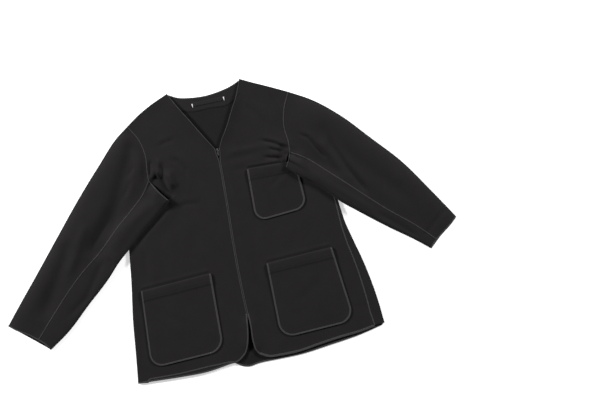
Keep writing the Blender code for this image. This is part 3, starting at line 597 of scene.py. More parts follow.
def make_front(node, side, hem, corner, neckline, armhole, tip, shoulder, wraps_under):
    facing = 1 if side[0].x > 0 else -1
    rows = FLANK * ALONG + 1
    columns = HEM * ACROSS
    outer = front_side(side, armhole, tip, side_inset(rows, not wraps_under))
    inner = front_edge(corner, neckline, facing)
    bottom = between(spline(hem, columns), outer[0], inner[0])
    top = shifted(spline(shoulder, columns), facing * EDGE)
    top[0] = towards(top[0], top[1], 2 * SEAM_GAP)
    outer[-1] = top[0]
    inner[-1] = top[-1]
    plan = coons(bottom, top, outer, inner)
    grids = [raised(plan, front_height(plan))]
    if wraps_under:
        grids.append(side_wrap(outer[:rows], facing, grids[0][:rows, 0, 2], BACK_MID))
    grids.append(shoulder_fold(top, -facing))
    cloth_piece(node, grids)
    return {"inner": inner, "hem": bottom}


front_right = make_front("front_right", RIGHT_SIDE, RIGHT_HEM, RIGHT_CORNER, RIGHT_NECKLINE,
                         RIGHT_ARMHOLE, RIGHT_TIP, RIGHT_SHOULDER, True)
front_left = make_front("front_left", LEFT_SIDE, LEFT_HEM, LEFT_CORNER, LEFT_NECKLINE,
                        LEFT_ARMHOLE, LEFT_TIP, LEFT_SHOULDER, False)
print("front columns", len(front_left["hem"]), "rows", len(front_left["inner"]))

# %% [markdown]
# The back lies on the floor and stays flat, but for a small swell where it shows between the
# corners at the foot of the zip. Its left side comes up round the fold and lies level with the
# front, whose creases it follows where the two meet.

# %% Back
SLIT_SWELL = Swell(2.6, -22, -306, 13, 13, 0)


def make_back():
    flank, arm = FLANK * BACK_ALONG, ARMHOLE * BACK_ALONG
    rows = flank + 1
    right = shifted(spline(RIGHT_SIDE, flank), -side_inset(rows, True))
    left = shifted(spline(LEFT_SIDE, flank), side_inset(rows, False))
    right_arm = shifted(spline(RIGHT_BACK_ARMHOLE, arm), HALF_GAP)[::-1]
    left_arm = shifted(spline(LEFT_BACK_ARMHOLE, arm), -HALF_GAP)[::-1]
    right_arm[0], left_arm[0] = right[-1], left[-1]
    first, last = chain(right, right_arm), chain(left, left_arm)
    seam = EDGE + SHOULDER_WRAP + SEAM_GAP
    right_top = shifted(spline(RIGHT_SHOULDER, 6 * BACK_ACROSS), -seam)
    left_top = shifted(spline(LEFT_SHOULDER, 6 * BACK_ACROSS), seam)[::-1]
    neck = spline([right_top[-1], *BACK_NECK[1:-1], left_top[0]], 8 * BACK_ACROSS)
    top = chain(right_top, neck, left_top)
    bottom = chain(spline(BACK_HEM[:5], 7 * BACK_ACROSS), spline(BACK_HEM[4:8], 5 * BACK_ACROSS),
                   spline(BACK_HEM[7:], 8 * BACK_ACROSS))
    bottom = between(bottom, first[0], last[0])
    first[-1], last[-1] = top[0], top[-1]
    plan = coons(bottom, top, first, last)
    flat = raised(plan, BACK_MID + swell_relief(plan, [SLIT_SWELL]))
    wrap = side_wrap(last[:rows], 1, np.full(rows, BACK_MID), front_height)
    # the flat back gets the second material, which is darker as painted shade inside the jacket; the side
    # wrap gets the body cloth
    cloth_piece("back", [flat, wrap], finishes=[1, 0])
    return {"neck": neck, "hem": bottom}


back = make_back()
print("back neck", len(back["neck"]), "points")

# %% [markdown]
# A two-piece sleeve has a top sleeve, from the seam that runs down its front over the outer fold,
# and an under sleeve, which turns at the lower fold. Laid flat it is still a tube, so its upper
# layer stands away from the lower one and rolls over at both folds. The lower layer climbs from
# the floor on to the body, and on the left over the chest pocket.

# %% Sleeves
TOP_PUFF = 8.0  # how far the upper layer stands above a sleeve pressed flat, at its outer fold
SEAM_PUFF = 3.0  # at its front seam
UNDER_PUFF = {"right": 0.9, "left": 4.2}  # and at its lower fold
PUFF_BLEND = 70.0
TOP_ROLL = 12.0  # how quickly it rises from the outer fold
UNDER_ROLL = 3.6  # and from the lower one
LAYER_GAP = 1.9  # the least distance between the middles of two layers
TIP_STAND = {"right": 8.0, "left": 2.2}  # how far the tip of the under sleeve stands up
ARMHOLE_STATIONS = 7
UNDERARM_STATIONS = 6
STATIONS = 16
Sleeve = namedtuple("Sleeve", "side armhole tip back_armhole outer seam lower hind cuff_outer cuff_inner")
SLEEVES = {
    "right": Sleeve(RIGHT_SIDE, RIGHT_ARMHOLE, RIGHT_TIP, RIGHT_BACK_ARMHOLE, RIGHT_OUTER,
                    RIGHT_FRONT_SEAM, RIGHT_LOWER, RIGHT_HIND_SEAM, RIGHT_CUFF_OUTER, RIGHT_CUFF_INNER),
    "left": Sleeve(LEFT_SIDE, LEFT_ARMHOLE, LEFT_TIP, LEFT_BACK_ARMHOLE, LEFT_OUTER,
                   LEFT_FRONT_SEAM, LEFT_LOWER, LEFT_HIND_SEAM, LEFT_CUFF_OUTER, LEFT_CUFF_INNER),
}


def side_distance(x, y, side):
    """How far inside the side of the body a point is."""
    line = spline(side, 40)
    edge = np.interp(y, line[:, 1], line[:, 0])
    return (x - edge) if line[0, 0] < 0 else (edge - x)


def pocket_cover(x, y, pocket):
    """1 over a pocket, falling to 0 round it."""
    outside_x = np.maximum(pocket.top_left.x - x, x - pocket.bottom_right.x)
    outside_y = np.maximum(pocket.bottom_left.y - y, y - pocket.top_left.y)
    away = np.hypot(np.maximum(outside_x, 0), np.maximum(outside_y, 0))
    return smooth(1.2 - away / POCKET_RAMP)


def sleeve_rest(plan, side, tip):
    """The middle of a sleeve's lower layer: on the floor, or on the front that it lies over."""
    x, y = plan[..., 0], plan[..., 1]
    underarm = np.array(side[-1], float)
    line = np.array(tip[-1], float) - underarm
    line /= np.linalg.norm(line)
    below = np.array([line[1], -line[0]]) if line[0] > 0 else np.array([-line[1], line[0]])
    past_line = (x - underarm[0]) * below[0] + (y - underarm[1]) * below[1]
    over = smooth(1.4 + side_distance(x, y, side) / SLEEVE_RAMP) * smooth(1.25 + past_line / UNDERARM_RAMP)
    cover = pocket_cover(x, y, POCKETS[2]) if side[0].x > 0 else np.zeros_like(x)
    lift = np.maximum(over, cover)
    rise = SLEEVE_REST - BACK_MID + np.maximum(front_relief(plan), 0)
    return BACK_MID + lift * rise + cover * POCKET_STACK


def rail(points, stations):
    """A rail of a sleeve, with its stations closer together at the armhole."""
    return resampled(spline(points, 400), np.linspace(0, 1, stations + 1) ** STATION_GRADING)


def upper_layer(name, data, armhole, cuff, seam, start, edge_height, roll, fold_puff):
    """The part of a sleeve piece that shows from above, from its front seam to its fold."""
    armhole = between(armhole, towards(armhole[0], armhole[1], SEAM_GAP), start[0])
    seam[0] = armhole[0]
    cuff = between(cuff, seam[-1], start[-1])
    plan = coons(armhole, cuff, seam, start)
    from_fold = np.linalg.norm(plan - plan[:, -1:], axis=2)
    along = np.linspace(0, 1, len(plan))[:, None]
    from_seam = np.linalg.norm(plan - plan[:, :1], axis=2)
    full = fold_puff + (SEAM_PUFF - fold_puff) * smooth(1 - from_seam / PUFF_BLEND)
    puff = full * (1 - np.exp(-from_fold / roll)) * (1 - 0.5 * smooth(along * 4 - 3))
    crease = crease_relief(plan, SLEEVE_CREASES[name]) * smooth(from_fold / 9)
    crease = np.maximum(crease, LAYER_GAP - 2 * FOLD - puff)
    inner = sleeve_rest(plan, data.side, data.tip) + 2 * FOLD + puff + crease
    away = np.linalg.norm(plan - plan[:1], axis=2)
    share = smooth(away / ARMHOLE_RAMP[name])
    return raised(plan, edge_height(plan[0])[None] * (1 - share) + inner * share)


def lower_layer(data, start, armhole, hind, columns):
    """The part that lies underneath, from the fold to the armhole and then the hind seam."""
    far = chain(armhole, hind)
    share = np.linspace(0, 1, columns)[None, :, None]
    plan = start[:, None] * (1 - share) + far[:, None] * share
    return raised(plan, sleeve_rest(plan, data.side, data.tip))


def sleeve_start(edge, facing):
    """Where a sleeve's fold starts on each layer, with the way out of it."""
    outward = normals(edge) * facing
    start = edge - outward * EDGE
    start[0] = towards(start[0], start[1], SEAM_GAP)
    return start, outward


def hind_seam(data, facing, stations):
    seam = shifted(rail(data.hind, stations), facing * HALF_GAP)
    seam[0] = towards(seam[0], seam[1], SEAM_GAP)
    return seam


def tip_height(plan, name, data):
    """The edge of the under sleeve's upper layer, from the front seam down to the tip."""
    run = np.linspace(0, 1, len(plan))
    rest = np.maximum(sleeve_rest(plan, data.side, data.tip), SLEEVE_REST)
    floor = front_height(plan)
    seated = floor + (rest - floor) * smooth(run / 0.3)
    return seated + (2 * FOLD + TIP_STAND[name]) * smooth((run - 0.05) / 0.55)


def make_top_sleeve(name, data):
    facing = -1 if name == "right" else 1
    start, outward = sleeve_start(rail(data.outer, STATIONS * ALONG), facing)
    seam = shifted(rail(data.seam, STATIONS * ALONG), facing * SLEEVE_HALF_GAP)
    hind = hind_seam(data, facing, (STATIONS - ARMHOLE_STATIONS) * ALONG)
    armhole = shifted(spline(data.armhole, ARMHOLE * ACROSS), facing * HALF_GAP)[::-1]
    cuff = spline(data.cuff_outer, 7 * ACROSS)[::-1]
    upper = upper_layer(name, data, armhole, cuff, seam, start, front_height, TOP_ROLL, TOP_PUFF)
    back_edge = shifted(spline(data.back_armhole, ARMHOLE_STATIONS * ALONG), facing * HALF_GAP)
    back_edge[0], back_edge[-1] = start[0], hind[0]
    lower = lower_layer(data, start, back_edge, hind, 9 * ACROSS // 2)
    curve = fold(start, outward, upper[:, -1, 2], lower[:, 0, 2])
    grid = np.concatenate([upper, curve[:, 1:-1], lower], axis=1)
    cloth_piece(f"top_sleeve_{name}", [grid])
    return {"hind": hind, "back_armhole": back_edge}


def make_under_sleeve(name, data):
    facing = -1 if name == "right" else 1
    start, outward = sleeve_start(rail(data.lower, STATIONS * ALONG), -facing)
    seam = shifted(rail(data.seam, STATIONS * ALONG), -facing * SLEEVE_HALF_GAP)
    armhole = shifted(spline(data.tip, 6 * ACROSS), facing * HALF_GAP)
    upper = upper_layer(name, data, armhole, spline(data.cuff_inner, 6 * ACROSS), seam, start,
                        lambda edge: tip_height(edge, name, data), UNDER_ROLL, UNDER_PUFF[name])
    hind = hind_seam(data, -facing, (STATIONS - UNDERARM_STATIONS) * ALONG)
    underarm = rail([start[0], hind[0]], UNDERARM_STATIONS * ALONG)
    lower = lower_layer(data, start, underarm, hind, 7 * ACROSS // 2)
    curve = fold(start, outward, upper[:, -1, 2], lower[:, 0, 2])
    grid = np.concatenate([upper, curve[:, 1:-1], lower], axis=1)
    cloth_piece(f"under_sleeve_{name}", [grid])


sleeve_edges = {}
for sleeve_name, sleeve_data in SLEEVES.items():
    sleeve_edges[sleeve_name] = make_top_sleeve(sleeve_name, sleeve_data)
    make_under_sleeve(sleeve_name, sleeve_data)
print("sleeves", list(sleeve_edges))

# %% [markdown]
# A patch pocket is cut with a deep turning at its top. The turning is folded in and sewn down, so
# the mouth is two layers thick and stands a little off the body, which leaves the dark line above
# it. The rest is a flat patch with round lower corners that follows the front beneath.

# %% Patch pockets
POCKET_SLACK = 1.1
BAND_STEP = 0.7  # how far the turned band stands above the rest, at its lower edge
BAND_LEVEL = 90.0  # and it comes down to that from the mouth over this length
BAND_ROWS = 9
POCKET_SINK = 0.35  # how far a pocket follows the front down
POCKET_CREASES = {
    "pocket_right": [Crease(0.5, 9, 0.3, outline((-236, -150), (-196, -182), (-150, -204)))],
    "pocket_left": [Crease(0.5, 9, 0.3, outline((92, -208), (140, -190), (196, -150)))],
    "pocket_chest": [Crease(0.7, 7, 0.4, outline((168, 136), (140, 118), (104, 96)))],
}


def pocket_plan(pocket, columns):
    """Rows of a pocket's outline from its top edge down to its rounded lower corners."""
    top_left, top_right, bottom_right, bottom_left = (np.array(corner, float) for corner in pocket[1:5])
    depth = (np.linalg.norm(bottom_left - top_left) + np.linalg.norm(bottom_right - top_right)) / 2
    straight = list(np.linspace(0, POCKET_BAND, BAND_ROWS))
    straight += list(np.linspace(POCKET_BAND, POCKET_BAND + POCKET_BAND_FADE, 5)[1:])
    straight += list(np.linspace(straight[-1], depth - pocket.radius, 26)[1:])
    corner = [depth - pocket.radius * (1 - math.sin(a)) for a in np.linspace(0, math.pi / 2, 15)[1:]]
    rows = []
    for down in straight + corner:
        into = max(0.0, down - (depth - pocket.radius))
        inset = pocket.radius - math.sqrt(max(pocket.radius**2 - into**2, 0.0))
        left = top_left + (bottom_left - top_left) * down / depth
        right = top_right + (bottom_right - top_right) * down / depth
        across = (right - left) / np.linalg.norm(right - left)
        share = np.linspace(0, 1, columns + 1)[:, None]
        rows.append((left + across * inset) * (1 - share) + (right - across * inset) * share)
    return np.array(rows), np.array(straight + corner)


def make_pocket(pocket):
    plan, down = pocket_plan(pocket, 40)
    band = smooth(1 - (down - POCKET_BAND) / POCKET_BAND_FADE)[:, None]
    share = np.linspace(0, 1, plan.shape[1])[None]
    from_foot = (down[-1] - down[:, None]) / down[-1]
    slack = POCKET_SLACK * np.sin(math.pi * share) ** 0.8 * smooth(from_foot * 2.2)
    base = POCKET_MID + np.maximum(front_relief(plan), -POCKET_SINK)
    crease = crease_relief(plan, POCKET_CREASES[pocket.name]) * np.sin(math.pi * share)
    step = BAND_STEP * band + (2 * POCKET_FOLD - BAND_STEP) * smooth(1 - down / BAND_LEVEL)[:, None]
    outside = raised(plan, base + step + slack + np.maximum(crease, -slack))
    outward = normals(plan[0])
    rolled = plan[0] - outward * (CLOTH / 2 + POCKET_FOLD)
    outside[0, :, :2] = rolled
    inner_height = base[0] + slack[0]
    turn = fold(rolled, outward, outside[0, :, 2], inner_height).transpose(1, 0, 2)
    reach = np.linspace(0, 1, 6)[:, None, None]
    foot = plan[0] + (plan[BAND_ROWS - 1] - plan[0]) * POCKET_TURN
    inside = raised(rolled * (1 - reach) + foot * reach, inner_height)
    cloth_piece(pocket.name, [outside, turn, inside])
    return chain(plan[:, 0], plan[-1], plan[::-1, -1])


pocket_outlines = {pocket.name: make_pocket(pocket) for pocket in POCKETS}
print({name: len(outline) for name, outline in pocket_outlines.items()})

# %% [markdown]
# Inside the neck a shaped facing covers the seam, and a plain tape is tacked down at both ends of
# it. They are thin layers on the back, so their heights are the back's with a wall added. The tape
# bows a little between its tacks.

# %% Neck facing and hanger tape
def make_facing():
    rows = np.linspace(0, 1, 15)
    upper, lower = spline(FACING_UPPER, 70), spline(FACING_LOWER, 70)
    plan = upper[None] * (1 - rows[:, None, None]) + lower[None] * rows[:, None, None]
    x, y = plan[..., 0], plan[..., 1]
    ripple = 0.15 * np.sin(x / 17 + 0.9 * np.sin(y / 13)) ** 2 * smooth(1.6 - abs(x) / 44)
    cloth_piece("neck_facing", [raised(plan, FACING_MID + ripple)], FACING)
    return lower


def make_label_tape():
    across = np.linspace(-LABEL_WIDTH / 2, LABEL_WIDTH / 2, 5)
    along = np.linspace(-LABEL_LENGTH / 2, LABEL_LENGTH / 2, 45)
    plan = np.array([[(LABEL_CENTRE.x + x, LABEL_CENTRE.y + y - 1.3 * math.cos(x / 30)) for x in along]
                     for y in across])
    bow = 0.1 + 0.15 * np.cos(math.pi * along / LABEL_LENGTH) ** 2 + 0.05 * np.sin(along / 6)
    cloth_piece("label_tape", [raised(plan, LABEL_MID + bow[None])], FACING)


facing_lower = make_facing()
make_label_tape()
print("facing", len(facing_lower))

# %% [markdown]
# A zip is two woven tapes, each with a coil of monofilament sewn along its edge. The loops of one
# coil lock between those of the other. Each loop is one short bent tube and a function repeats
# it, half a pitch later on the other side, all joined in one mesh.

# %% Zip tapes
def make_zip_tape(node, facing):
    y = np.linspace(ZIP_TAPE_FOOT, ZIP_TAPE_TOP, 110)
    near = np.stack([zip_x(y) + facing * ZIP_TAPE_HALF_GAP, y], axis=1)
    share = np.linspace(0, 1, 6)[None, :, None]
    plan = near[:, None] + share * np.array([facing * ZIP_TAPE_WIDTH, 0.0])
    cloth_piece(node, [raised(plan, ZIP_TAPE_MID)], TAPE)


make_zip_tape("zip_tape_right", -1)
make_zip_tape("zip_tape_left", 1)


# %% Tubes joined in one mesh
def tube(points, radius, sides=4):
    """The points and faces of a round tube along a path, closed at its ends."""
    points = np.asarray(points, float)
    along = np.gradient(points, axis=0)
    along /= np.maximum(np.linalg.norm(along, axis=1)[:, None], 1e-9)
    side = np.cross(along, (0.0, 0.0, 1.0))
    short = np.linalg.norm(side, axis=1) < 1e-3
    side[short] = (1.0, 0.0, 0.0)
    side /= np.linalg.norm(side, axis=1)[:, None]
    up = np.cross(side, along)
    turn = np.arange(sides) * 2 * math.pi / sides
    ring = side[:, None] * np.cos(turn)[None, :, None] + up[:, None] * np.sin(turn)[None, :, None]
    skin = (points[:, None] + radius * ring).reshape(-1, 3)
    index = np.arange(len(skin)).reshape(-1, sides)
    ahead = np.roll(index, -1, axis=1)
    quads = np.stack([index[:-1], ahead[:-1], ahead[1:], index[1:]], axis=-1).reshape(-1, 4).tolist()
    return skin, [*quads, index[0][::-1].tolist(), index[-1].tolist()]


def joined(name, shapes, body=GARMENT):
    """One piece from many (points, faces) in millimetres."""
    points, faces, first = [], [], 0
    for skin, skin_faces in shapes:
        points.append(skin)
        faces.extend([[corner + first for corner in face] for face in skin_faces])
        first += len(skin)
    mesh = bpy.data.meshes.new(name)
    mesh.from_pydata((np.vstack(points) * MM).tolist(), [], faces)
    mesh.shade_smooth()
    return add_object(name, mesh, body)


# %% Zip coils
COIL_PITCH = 1.5
COIL_WIRE = 0.24
COIL_FOOT = ZIP_TAPE_FOOT + 2.0
COIL_HEAD = 214.0


def coil_loop(y, facing):
    """One loop of a coil, from its tape over to the other side and back underneath."""
    out = facing * np.array([2.3, 1.2, 0.1, -0.5, -0.4, 0.5, 2.0])
    height = np.array([4.0, 4.12, 4.22, 4.0, 3.62, 3.5, 3.5])
    step = np.array([0.0, 0.0, 0.0, 0.12, 0.3, 0.5, 0.6]) * COIL_PITCH
    return np.stack([float(zip_x(y)) + out, y + step, height], axis=1)


loops = []
for count in range(int((COIL_HEAD - COIL_FOOT) / COIL_PITCH)):
    for facing, later in ((-1, 0.0), (1, 0.5)):
        loops.append(tube(coil_loop(COIL_FOOT + (count + later) * COIL_PITCH, facing), COIL_WIRE))
joined("zip_coil", loops)
print("coil loops", len(loops))

# %% [markdown]
# The slider is two plates on a post with a bridge over the top one, and the pull tab hangs in the
# bridge. The plates narrow to a blunt point where the two coils part. The tab is on its own body,
# because it is the one hard piece that swings, so its mesh is made round the pivot's place.

# %% Slider, pull tab and box
PULL_PIVOT = Vector((-0.7, 218.4, 6.6))
SLIDER_FOOT = 213.4
SLIDER_HEAD = 223.0
SLIDER_HALF = 2.5
PLATE_LEVELS = ((1.8, 2.6), (4.2, 5.8))
BRIDGE_HALF = 0.7
BRIDGE_REACH = 2.9
BRIDGE_WALL = 0.9
BRIDGE_TOP = 8.3


def plate(outline, bottom, top):
    """The points and faces of a flat plate with this outline."""
    outline = np.asarray(outline, float)
    count = len(outline)
    points = np.vstack([raised(outline, bottom), raised(outline, top)])
    around = [[i, (i + 1) % count, count + (i + 1) % count, count + i] for i in range(count)]
    return points, [list(range(count))[::-1], list(range(count, 2 * count)), *around]


def rounded(corners, radius, steps=4):
    """A closed outline with each of its corners cut round."""
    corners = np.asarray(corners, float)
    outline = []
    for i, corner in enumerate(corners):
        before = towards(corner, corners[i - 1], radius)
        after = towards(corner, corners[(i + 1) % len(corners)], radius)
        for t in np.linspace(0, 1, steps + 1):
            outline.append((1 - t) ** 2 * before + 2 * t * (1 - t) * corner + t**2 * after)
    return np.array(outline)


def bevelled(piece, width, segments=3):
    edges = piece.modifiers.new("edges", "BEVEL")
    edges.width = width * MM
    edges.segments = segments
    edges.limit_method = "ANGLE"
    edges.angle_limit = math.radians(40)
    return piece


def make_slider():
    x = PULL_PIVOT.x
    half = SLIDER_HALF
    half_shield = [(0.72, SLIDER_FOOT), (1.0, SLIDER_FOOT + 4.2), (0.92, SLIDER_HEAD - 1.6),
                   (0.4, SLIDER_HEAD)]
    shield = [(x - half_shield[0][0] * half, SLIDER_FOOT)]
    shield += [(x + wide * half, y) for wide, y in half_shield]
    shield += [(x - wide * half, y) for wide, y in half_shield[:0:-1]]
    outline = rounded(shield, 0.5)
    shapes = [plate(outline, *level) for level in PLATE_LEVELS]
    post = rounded([(x - 0.65, SLIDER_HEAD - 4.5), (x + 0.65, SLIDER_HEAD - 4.5),
                    (x + 0.65, SLIDER_HEAD - 0.4), (x - 0.65, SLIDER_HEAD - 0.4)], 0.3)
    shapes.append(plate(post, PLATE_LEVELS[0][1] - 0.2, PLATE_LEVELS[1][0] + 0.2))
    arch = np.linspace(0, math.pi, 13)
    deck = PLATE_LEVELS[1][1]
    middle_reach, middle_rise = BRIDGE_REACH - BRIDGE_WALL / 2, BRIDGE_TOP - deck - BRIDGE_WALL / 2
    strap = []
    for a in arch:
        bend = abs(math.cos(a)) ** 0.55 * math.copysign(1, math.cos(a))
        rise = (middle_rise + 0.2) * math.sin(a) ** 0.5
        strap.append((x, PULL_PIVOT.y + middle_reach * bend, deck - 0.2 + rise))
    points, faces = tube(strap, BRIDGE_WALL / 2, 8)
    points[:, 0] = x + (points[:, 0] - x) * BRIDGE_HALF / (BRIDGE_WALL / 2)
    shapes.append((points, faces))
    slider = bevelled(joined("zip_slider_metal", shapes), 0.18)
    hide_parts("zip_slider")
    return slider


def make_pull():
    """A flat tongue with a bar that turns under the bridge."""
    x, y, z = PULL_PIVOT
    outside = rounded([(x - 1.9, y + 0.5), (x - 2.3, y - 4.4), (x - 1.45, y - 8.2), (x - 2.1, y - 12.6),
                       (x - 1.2, y - 14.0), (x + 1.2, y - 14.0), (x + 2.1, y - 12.6), (x + 1.45, y - 8.2),
                       (x + 2.3, y - 4.4), (x + 1.9, y + 0.5)], 0.6)
    hole = rounded([(x - 1.1, y - 0.5), (x - 1.1, y - 3.6), (x + 1.1, y - 3.6), (x + 1.1, y - 0.5)], 0.35)
    shape = bmesh.new()
    loops_made = []
    for outline in (outside, hole):
        ring = [shape.verts.new(Vector((px, py, z - 0.45)) * MM) for px, py in outline]
        loops_made += [shape.edges.new((ring[i], ring[(i + 1) % len(ring)])) for i in range(len(ring))]
    filled = bmesh.ops.triangle_fill(shape, use_beauty=True, edges=loops_made)
    face_list = [item for item in filled["geom"] if isinstance(item, bmesh.types.BMFace)]
    raised_part = bmesh.ops.extrude_face_region(shape, geom=face_list)
    top = [item for item in raised_part["geom"] if isinstance(item, bmesh.types.BMVert)]
    bmesh.ops.translate(shape, verts=top, vec=(0, 0, 0.9 * MM))
    bmesh.ops.recalc_face_normals(shape, faces=shape.faces)
    mesh = bpy.data.meshes.new("zip_pull_metal")
    shape.to_mesh(mesh)
    shape.free()
    pull = bevelled(add_object("zip_pull_metal", mesh, PULL_BODY), 0.2, 2)
    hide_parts("zip_pull")
    return pull


def make_zip_box():
    low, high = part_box("zip_box")
    corners = [(low[0], low[1]), (high[0], low[1]), (high[0], high[1]), (low[0], high[1])]
    outline = rounded(np.array(corners) / MM, 1.2)
    box = bevelled(joined("zip_box_metal", [plate(outline, low[2] / MM, high[2] / MM)]), 0.25)
    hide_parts("zip_box")
    return box


slider, pull, zip_box = make_slider(), make_pull(), make_zip_box()
print("pull at", [round(v, 4) for v in pull.bound_box[0]])

# %% [markdown]
# A flatlock seam is a ladder: two or three needle threads run along it and a cover thread goes to
# and fro over the cut edges. To lay one on cloth that rises and falls, a ray is dropped on the
# finished pieces at each station, which works on any of them and across their joins. The ribbon
# is the bed of thread, and the tubes on it are the strands that catch the light.

# %% The surface that the seams lie on
def surface_tree(without):
    """The finished cloth as one tree, for finding its height anywhere, without some of its pieces."""
    graph = bpy.context.evaluated_depsgraph_get()
    points, polygons, first = [], [], 0
    for name, piece in pieces.items():
        if not name.endswith("_cloth") or any(word in name for word in without):
            continue
        mesh = piece.evaluated_get(graph).to_mesh()
        points += [tuple(vertex.co) for vertex in mesh.vertices]
        polygons += [[corner + first for corner in polygon.vertices] for polygon in mesh.polygons]
        first += len(mesh.vertices)
    return BVHTree.FromPolygons(points, polygons)


WHOLE = surface_tree(["zip"])
BODY_ONLY = surface_tree(["zip", "sleeve"])
RAY_START = 0.08
UP, DOWN = Vector((0, 0, 1)), Vector((0, 0, -1))


def surface_height(x, y, above, tree):
    """The height of the cloth over or under a point, in millimetres, or None past its edge."""
    start = Vector((x * MM, y * MM, RAY_START if above else -RAY_START))
    place = tree.ray_cast(start, DOWN if above else UP)[0]
    return None if place is None else place.z / MM


def lie_on_cloth(plan, above=True, tree=WHOLE):
    """Heights for a grid of plan points. A point past an edge takes its neighbour's."""
    height = np.full(plan.shape[:2], np.nan)
    for i in range(plan.shape[0]):
        for j in range(plan.shape[1]):
            found = surface_height(plan[i, j, 0], plan[i, j, 1], above, tree)
            if found is not None:
                height[i, j] = found
    for row in height:
        known = np.flatnonzero(~np.isnan(row))
        if len(known):
            row[:] = np.interp(np.arange(len(row)), known, row[known])
    bare = np.isnan(height[:, 0])
    if bare.any():
        height[bare] = height[np.flatnonzero(~bare)[0]]
    return height


# %% Seams
STITCH = 2.3  # along the seam, from one rung of the ladder to the next
THREAD = 0.24
BED_LIFT = 0.42
BED_STEP = 2.4
BED_SAMPLES = 7
BED_DEPTH = 0.25
NEEDLE_LINES = (-0.62, 0.62)  # shares of the seam's half width


class Bed:
    """A seam's ribbon on the cloth, which also says where a thread on it runs."""

    def __init__(self, path, width, above=True, lift=BED_LIFT, tree=WHOLE):
        length = run_along(path)[-1]
        count = max(4, int(length / BED_STEP))
        line = resampled(path, np.linspace(0, 1, count + 1))
        self.offsets = np.linspace(-width / 2, width / 2, BED_SAMPLES)
        across = normals(line)
        plan = line[:, None] + across[:, None] * self.offsets[None, :, None]
        height = lie_on_cloth(plan, above, tree)
        peak = np.maximum if above else np.minimum
        height[1:-1] = peak(height[1:-1], (height[:-2] + height[2:]) / 2)
        height[:, 1:-1] = peak(height[:, 1:-1], (height[:, :-2] + height[:, 2:]) / 2)
        self.way = 1 if above else -1
        profile = np.sqrt(np.clip(1 - (self.offsets / (width / 2)) ** 2, 0, 1))
        self.cloth = raised(plan, height)
        self.top = raised(plan, height + self.way * lift * profile[None])
        self.length, self.width = length, width

    def shape(self):
        """The ribbon as a closed skin that reaches a little way into the cloth."""
        rows, columns = self.top.shape[:2]
        under = self.cloth - np.array([0, 0, self.way * BED_DEPTH])
        faces = grid_faces(rows, columns)
        below = grid_faces(rows, columns, rows * columns)[:, ::-1]
        edge = [*range(columns), *range(2 * columns - 1, rows * columns, columns),
                *range(rows * columns - 2, (rows - 1) * columns - 1, -1),
                *range((rows - 2) * columns, 0, -columns)]
        after = edge[1:] + edge[:1]
        total = rows * columns
        rim = [[a, a + total, b + total, b] for a, b in zip(edge, after)]
        skin = np.vstack([self.top.reshape(-1, 3), under.reshape(-1, 3)])
        return skin, [*faces.tolist(), *below.tolist(), *rim]

    def thread_path(self, along, across, lift):
        """Points on the ribbon, along it in millimetres and across it in shares of its half width."""
        rows, columns = self.top.shape[:2]
        i = np.clip(np.asarray(along) / self.length * (rows - 1), 0, rows - 1.001)
        j = np.clip((np.asarray(across) + 1) / 2 * (columns - 1), 0, columns - 1.001)
        low_i, low_j = i.astype(int), j.astype(int)
        f, g = (i - low_i)[:, None], (j - low_j)[:, None]
        grid = self.top
        place = ((1 - f) * (1 - g) * grid[low_i, low_j] + f * (1 - g) * grid[low_i + 1, low_j]
                 + (1 - f) * g * grid[low_i, low_j + 1] + f * g * grid[low_i + 1, low_j + 1])
        place[:, 2] += self.way * lift
        return place


def ladder(bed):
    """The cover thread of a seam, to and fro over it."""
    rungs = int(bed.length / STITCH)
    along = (np.arange(rungs)[:, None] + np.array([0.0, 0.16, 0.5, 0.66])) * STITCH
    across = np.tile([0.86, 0.9, -0.86, -0.9], rungs)
    lift = np.tile([0.02, 0.0, 0.02, 0.0], rungs)
    return tube(bed.thread_path(along.ravel(), across, lift + 0.1), THREAD)


def needle_line(bed, across, stitch=STITCH, lift=0.12):
    """A row of running stitches, each a low hump between two needle holes."""
    count = int(bed.length / stitch)
    along = (np.arange(count)[:, None] + np.array([0.0, 0.3, 0.7])) * stitch
    hump = np.tile([-0.2, 1.0, 1.0], count) * lift
    return tube(bed.thread_path(along.ravel(), np.full(along.size, across), hump), THREAD)


def seam(name, path, width, above=True, lift=BED_LIFT, tree=WHOLE):
    bed = Bed(path, width, above, lift, tree)
    shapes = [bed.shape(), ladder(bed), *(needle_line(bed, across) for across in NEEDLE_LINES)]
    seams.append(joined(f"seam_{name}", shapes))


ZIP_BAND = 2.2
NECK_BAND = 1.9
ARMHOLE_BAND = 2.2
SIDE_BAND = 3.4
SLEEVE_BAND = 2.4
POCKET_BAND_WIDTH = 4.6
HEM_BANDS = {"right": 3.4, "left": 6.2}
CUFF_BAND = 3.2
CUFF_INSET = 2.0
POCKET_INSET = 1.6
BACK_INSET = 2.4
HIDDEN_BAND = 2.4
EDGE_MARGIN = 0.2
SIDE_STATIONS = 90
seams = []
for side_name, front, facing in (("right", front_right, -1), ("left", front_left, 1)):
    foot = CORNER * ALONG
    neck = (CORNER + ZIP_RUN) * ALONG
    for part, run, band in (("foot", front["inner"][:foot + 1], HEM_BANDS["right"]),
                            ("zip", front["inner"][foot:neck + 1], ZIP_BAND),
                            ("neck", front["inner"][neck:], NECK_BAND),
                            ("hem", front["hem"], HEM_BANDS[side_name])):
        seam(f"{part}_{side_name}", shifted(run, facing * -(band / 2 + EDGE_MARGIN)), band)
for side_name, data in SLEEVES.items():
    armhole = spline(data.armhole, 60)
    seam(f"armhole_{side_name}", chain(armhole, spline(data.tip, 24)), ARMHOLE_BAND)
    seam(f"sleeve_{side_name}", spline(data.seam, 140), SLEEVE_BAND)
    turned = 1 if side_name == "right" else -1
    cuff = chain(spline(data.cuff_outer, 30), spline(data.cuff_inner, 20))
    seam(f"cuff_{side_name}", shifted(cuff, turned * CUFF_INSET), CUFF_BAND)
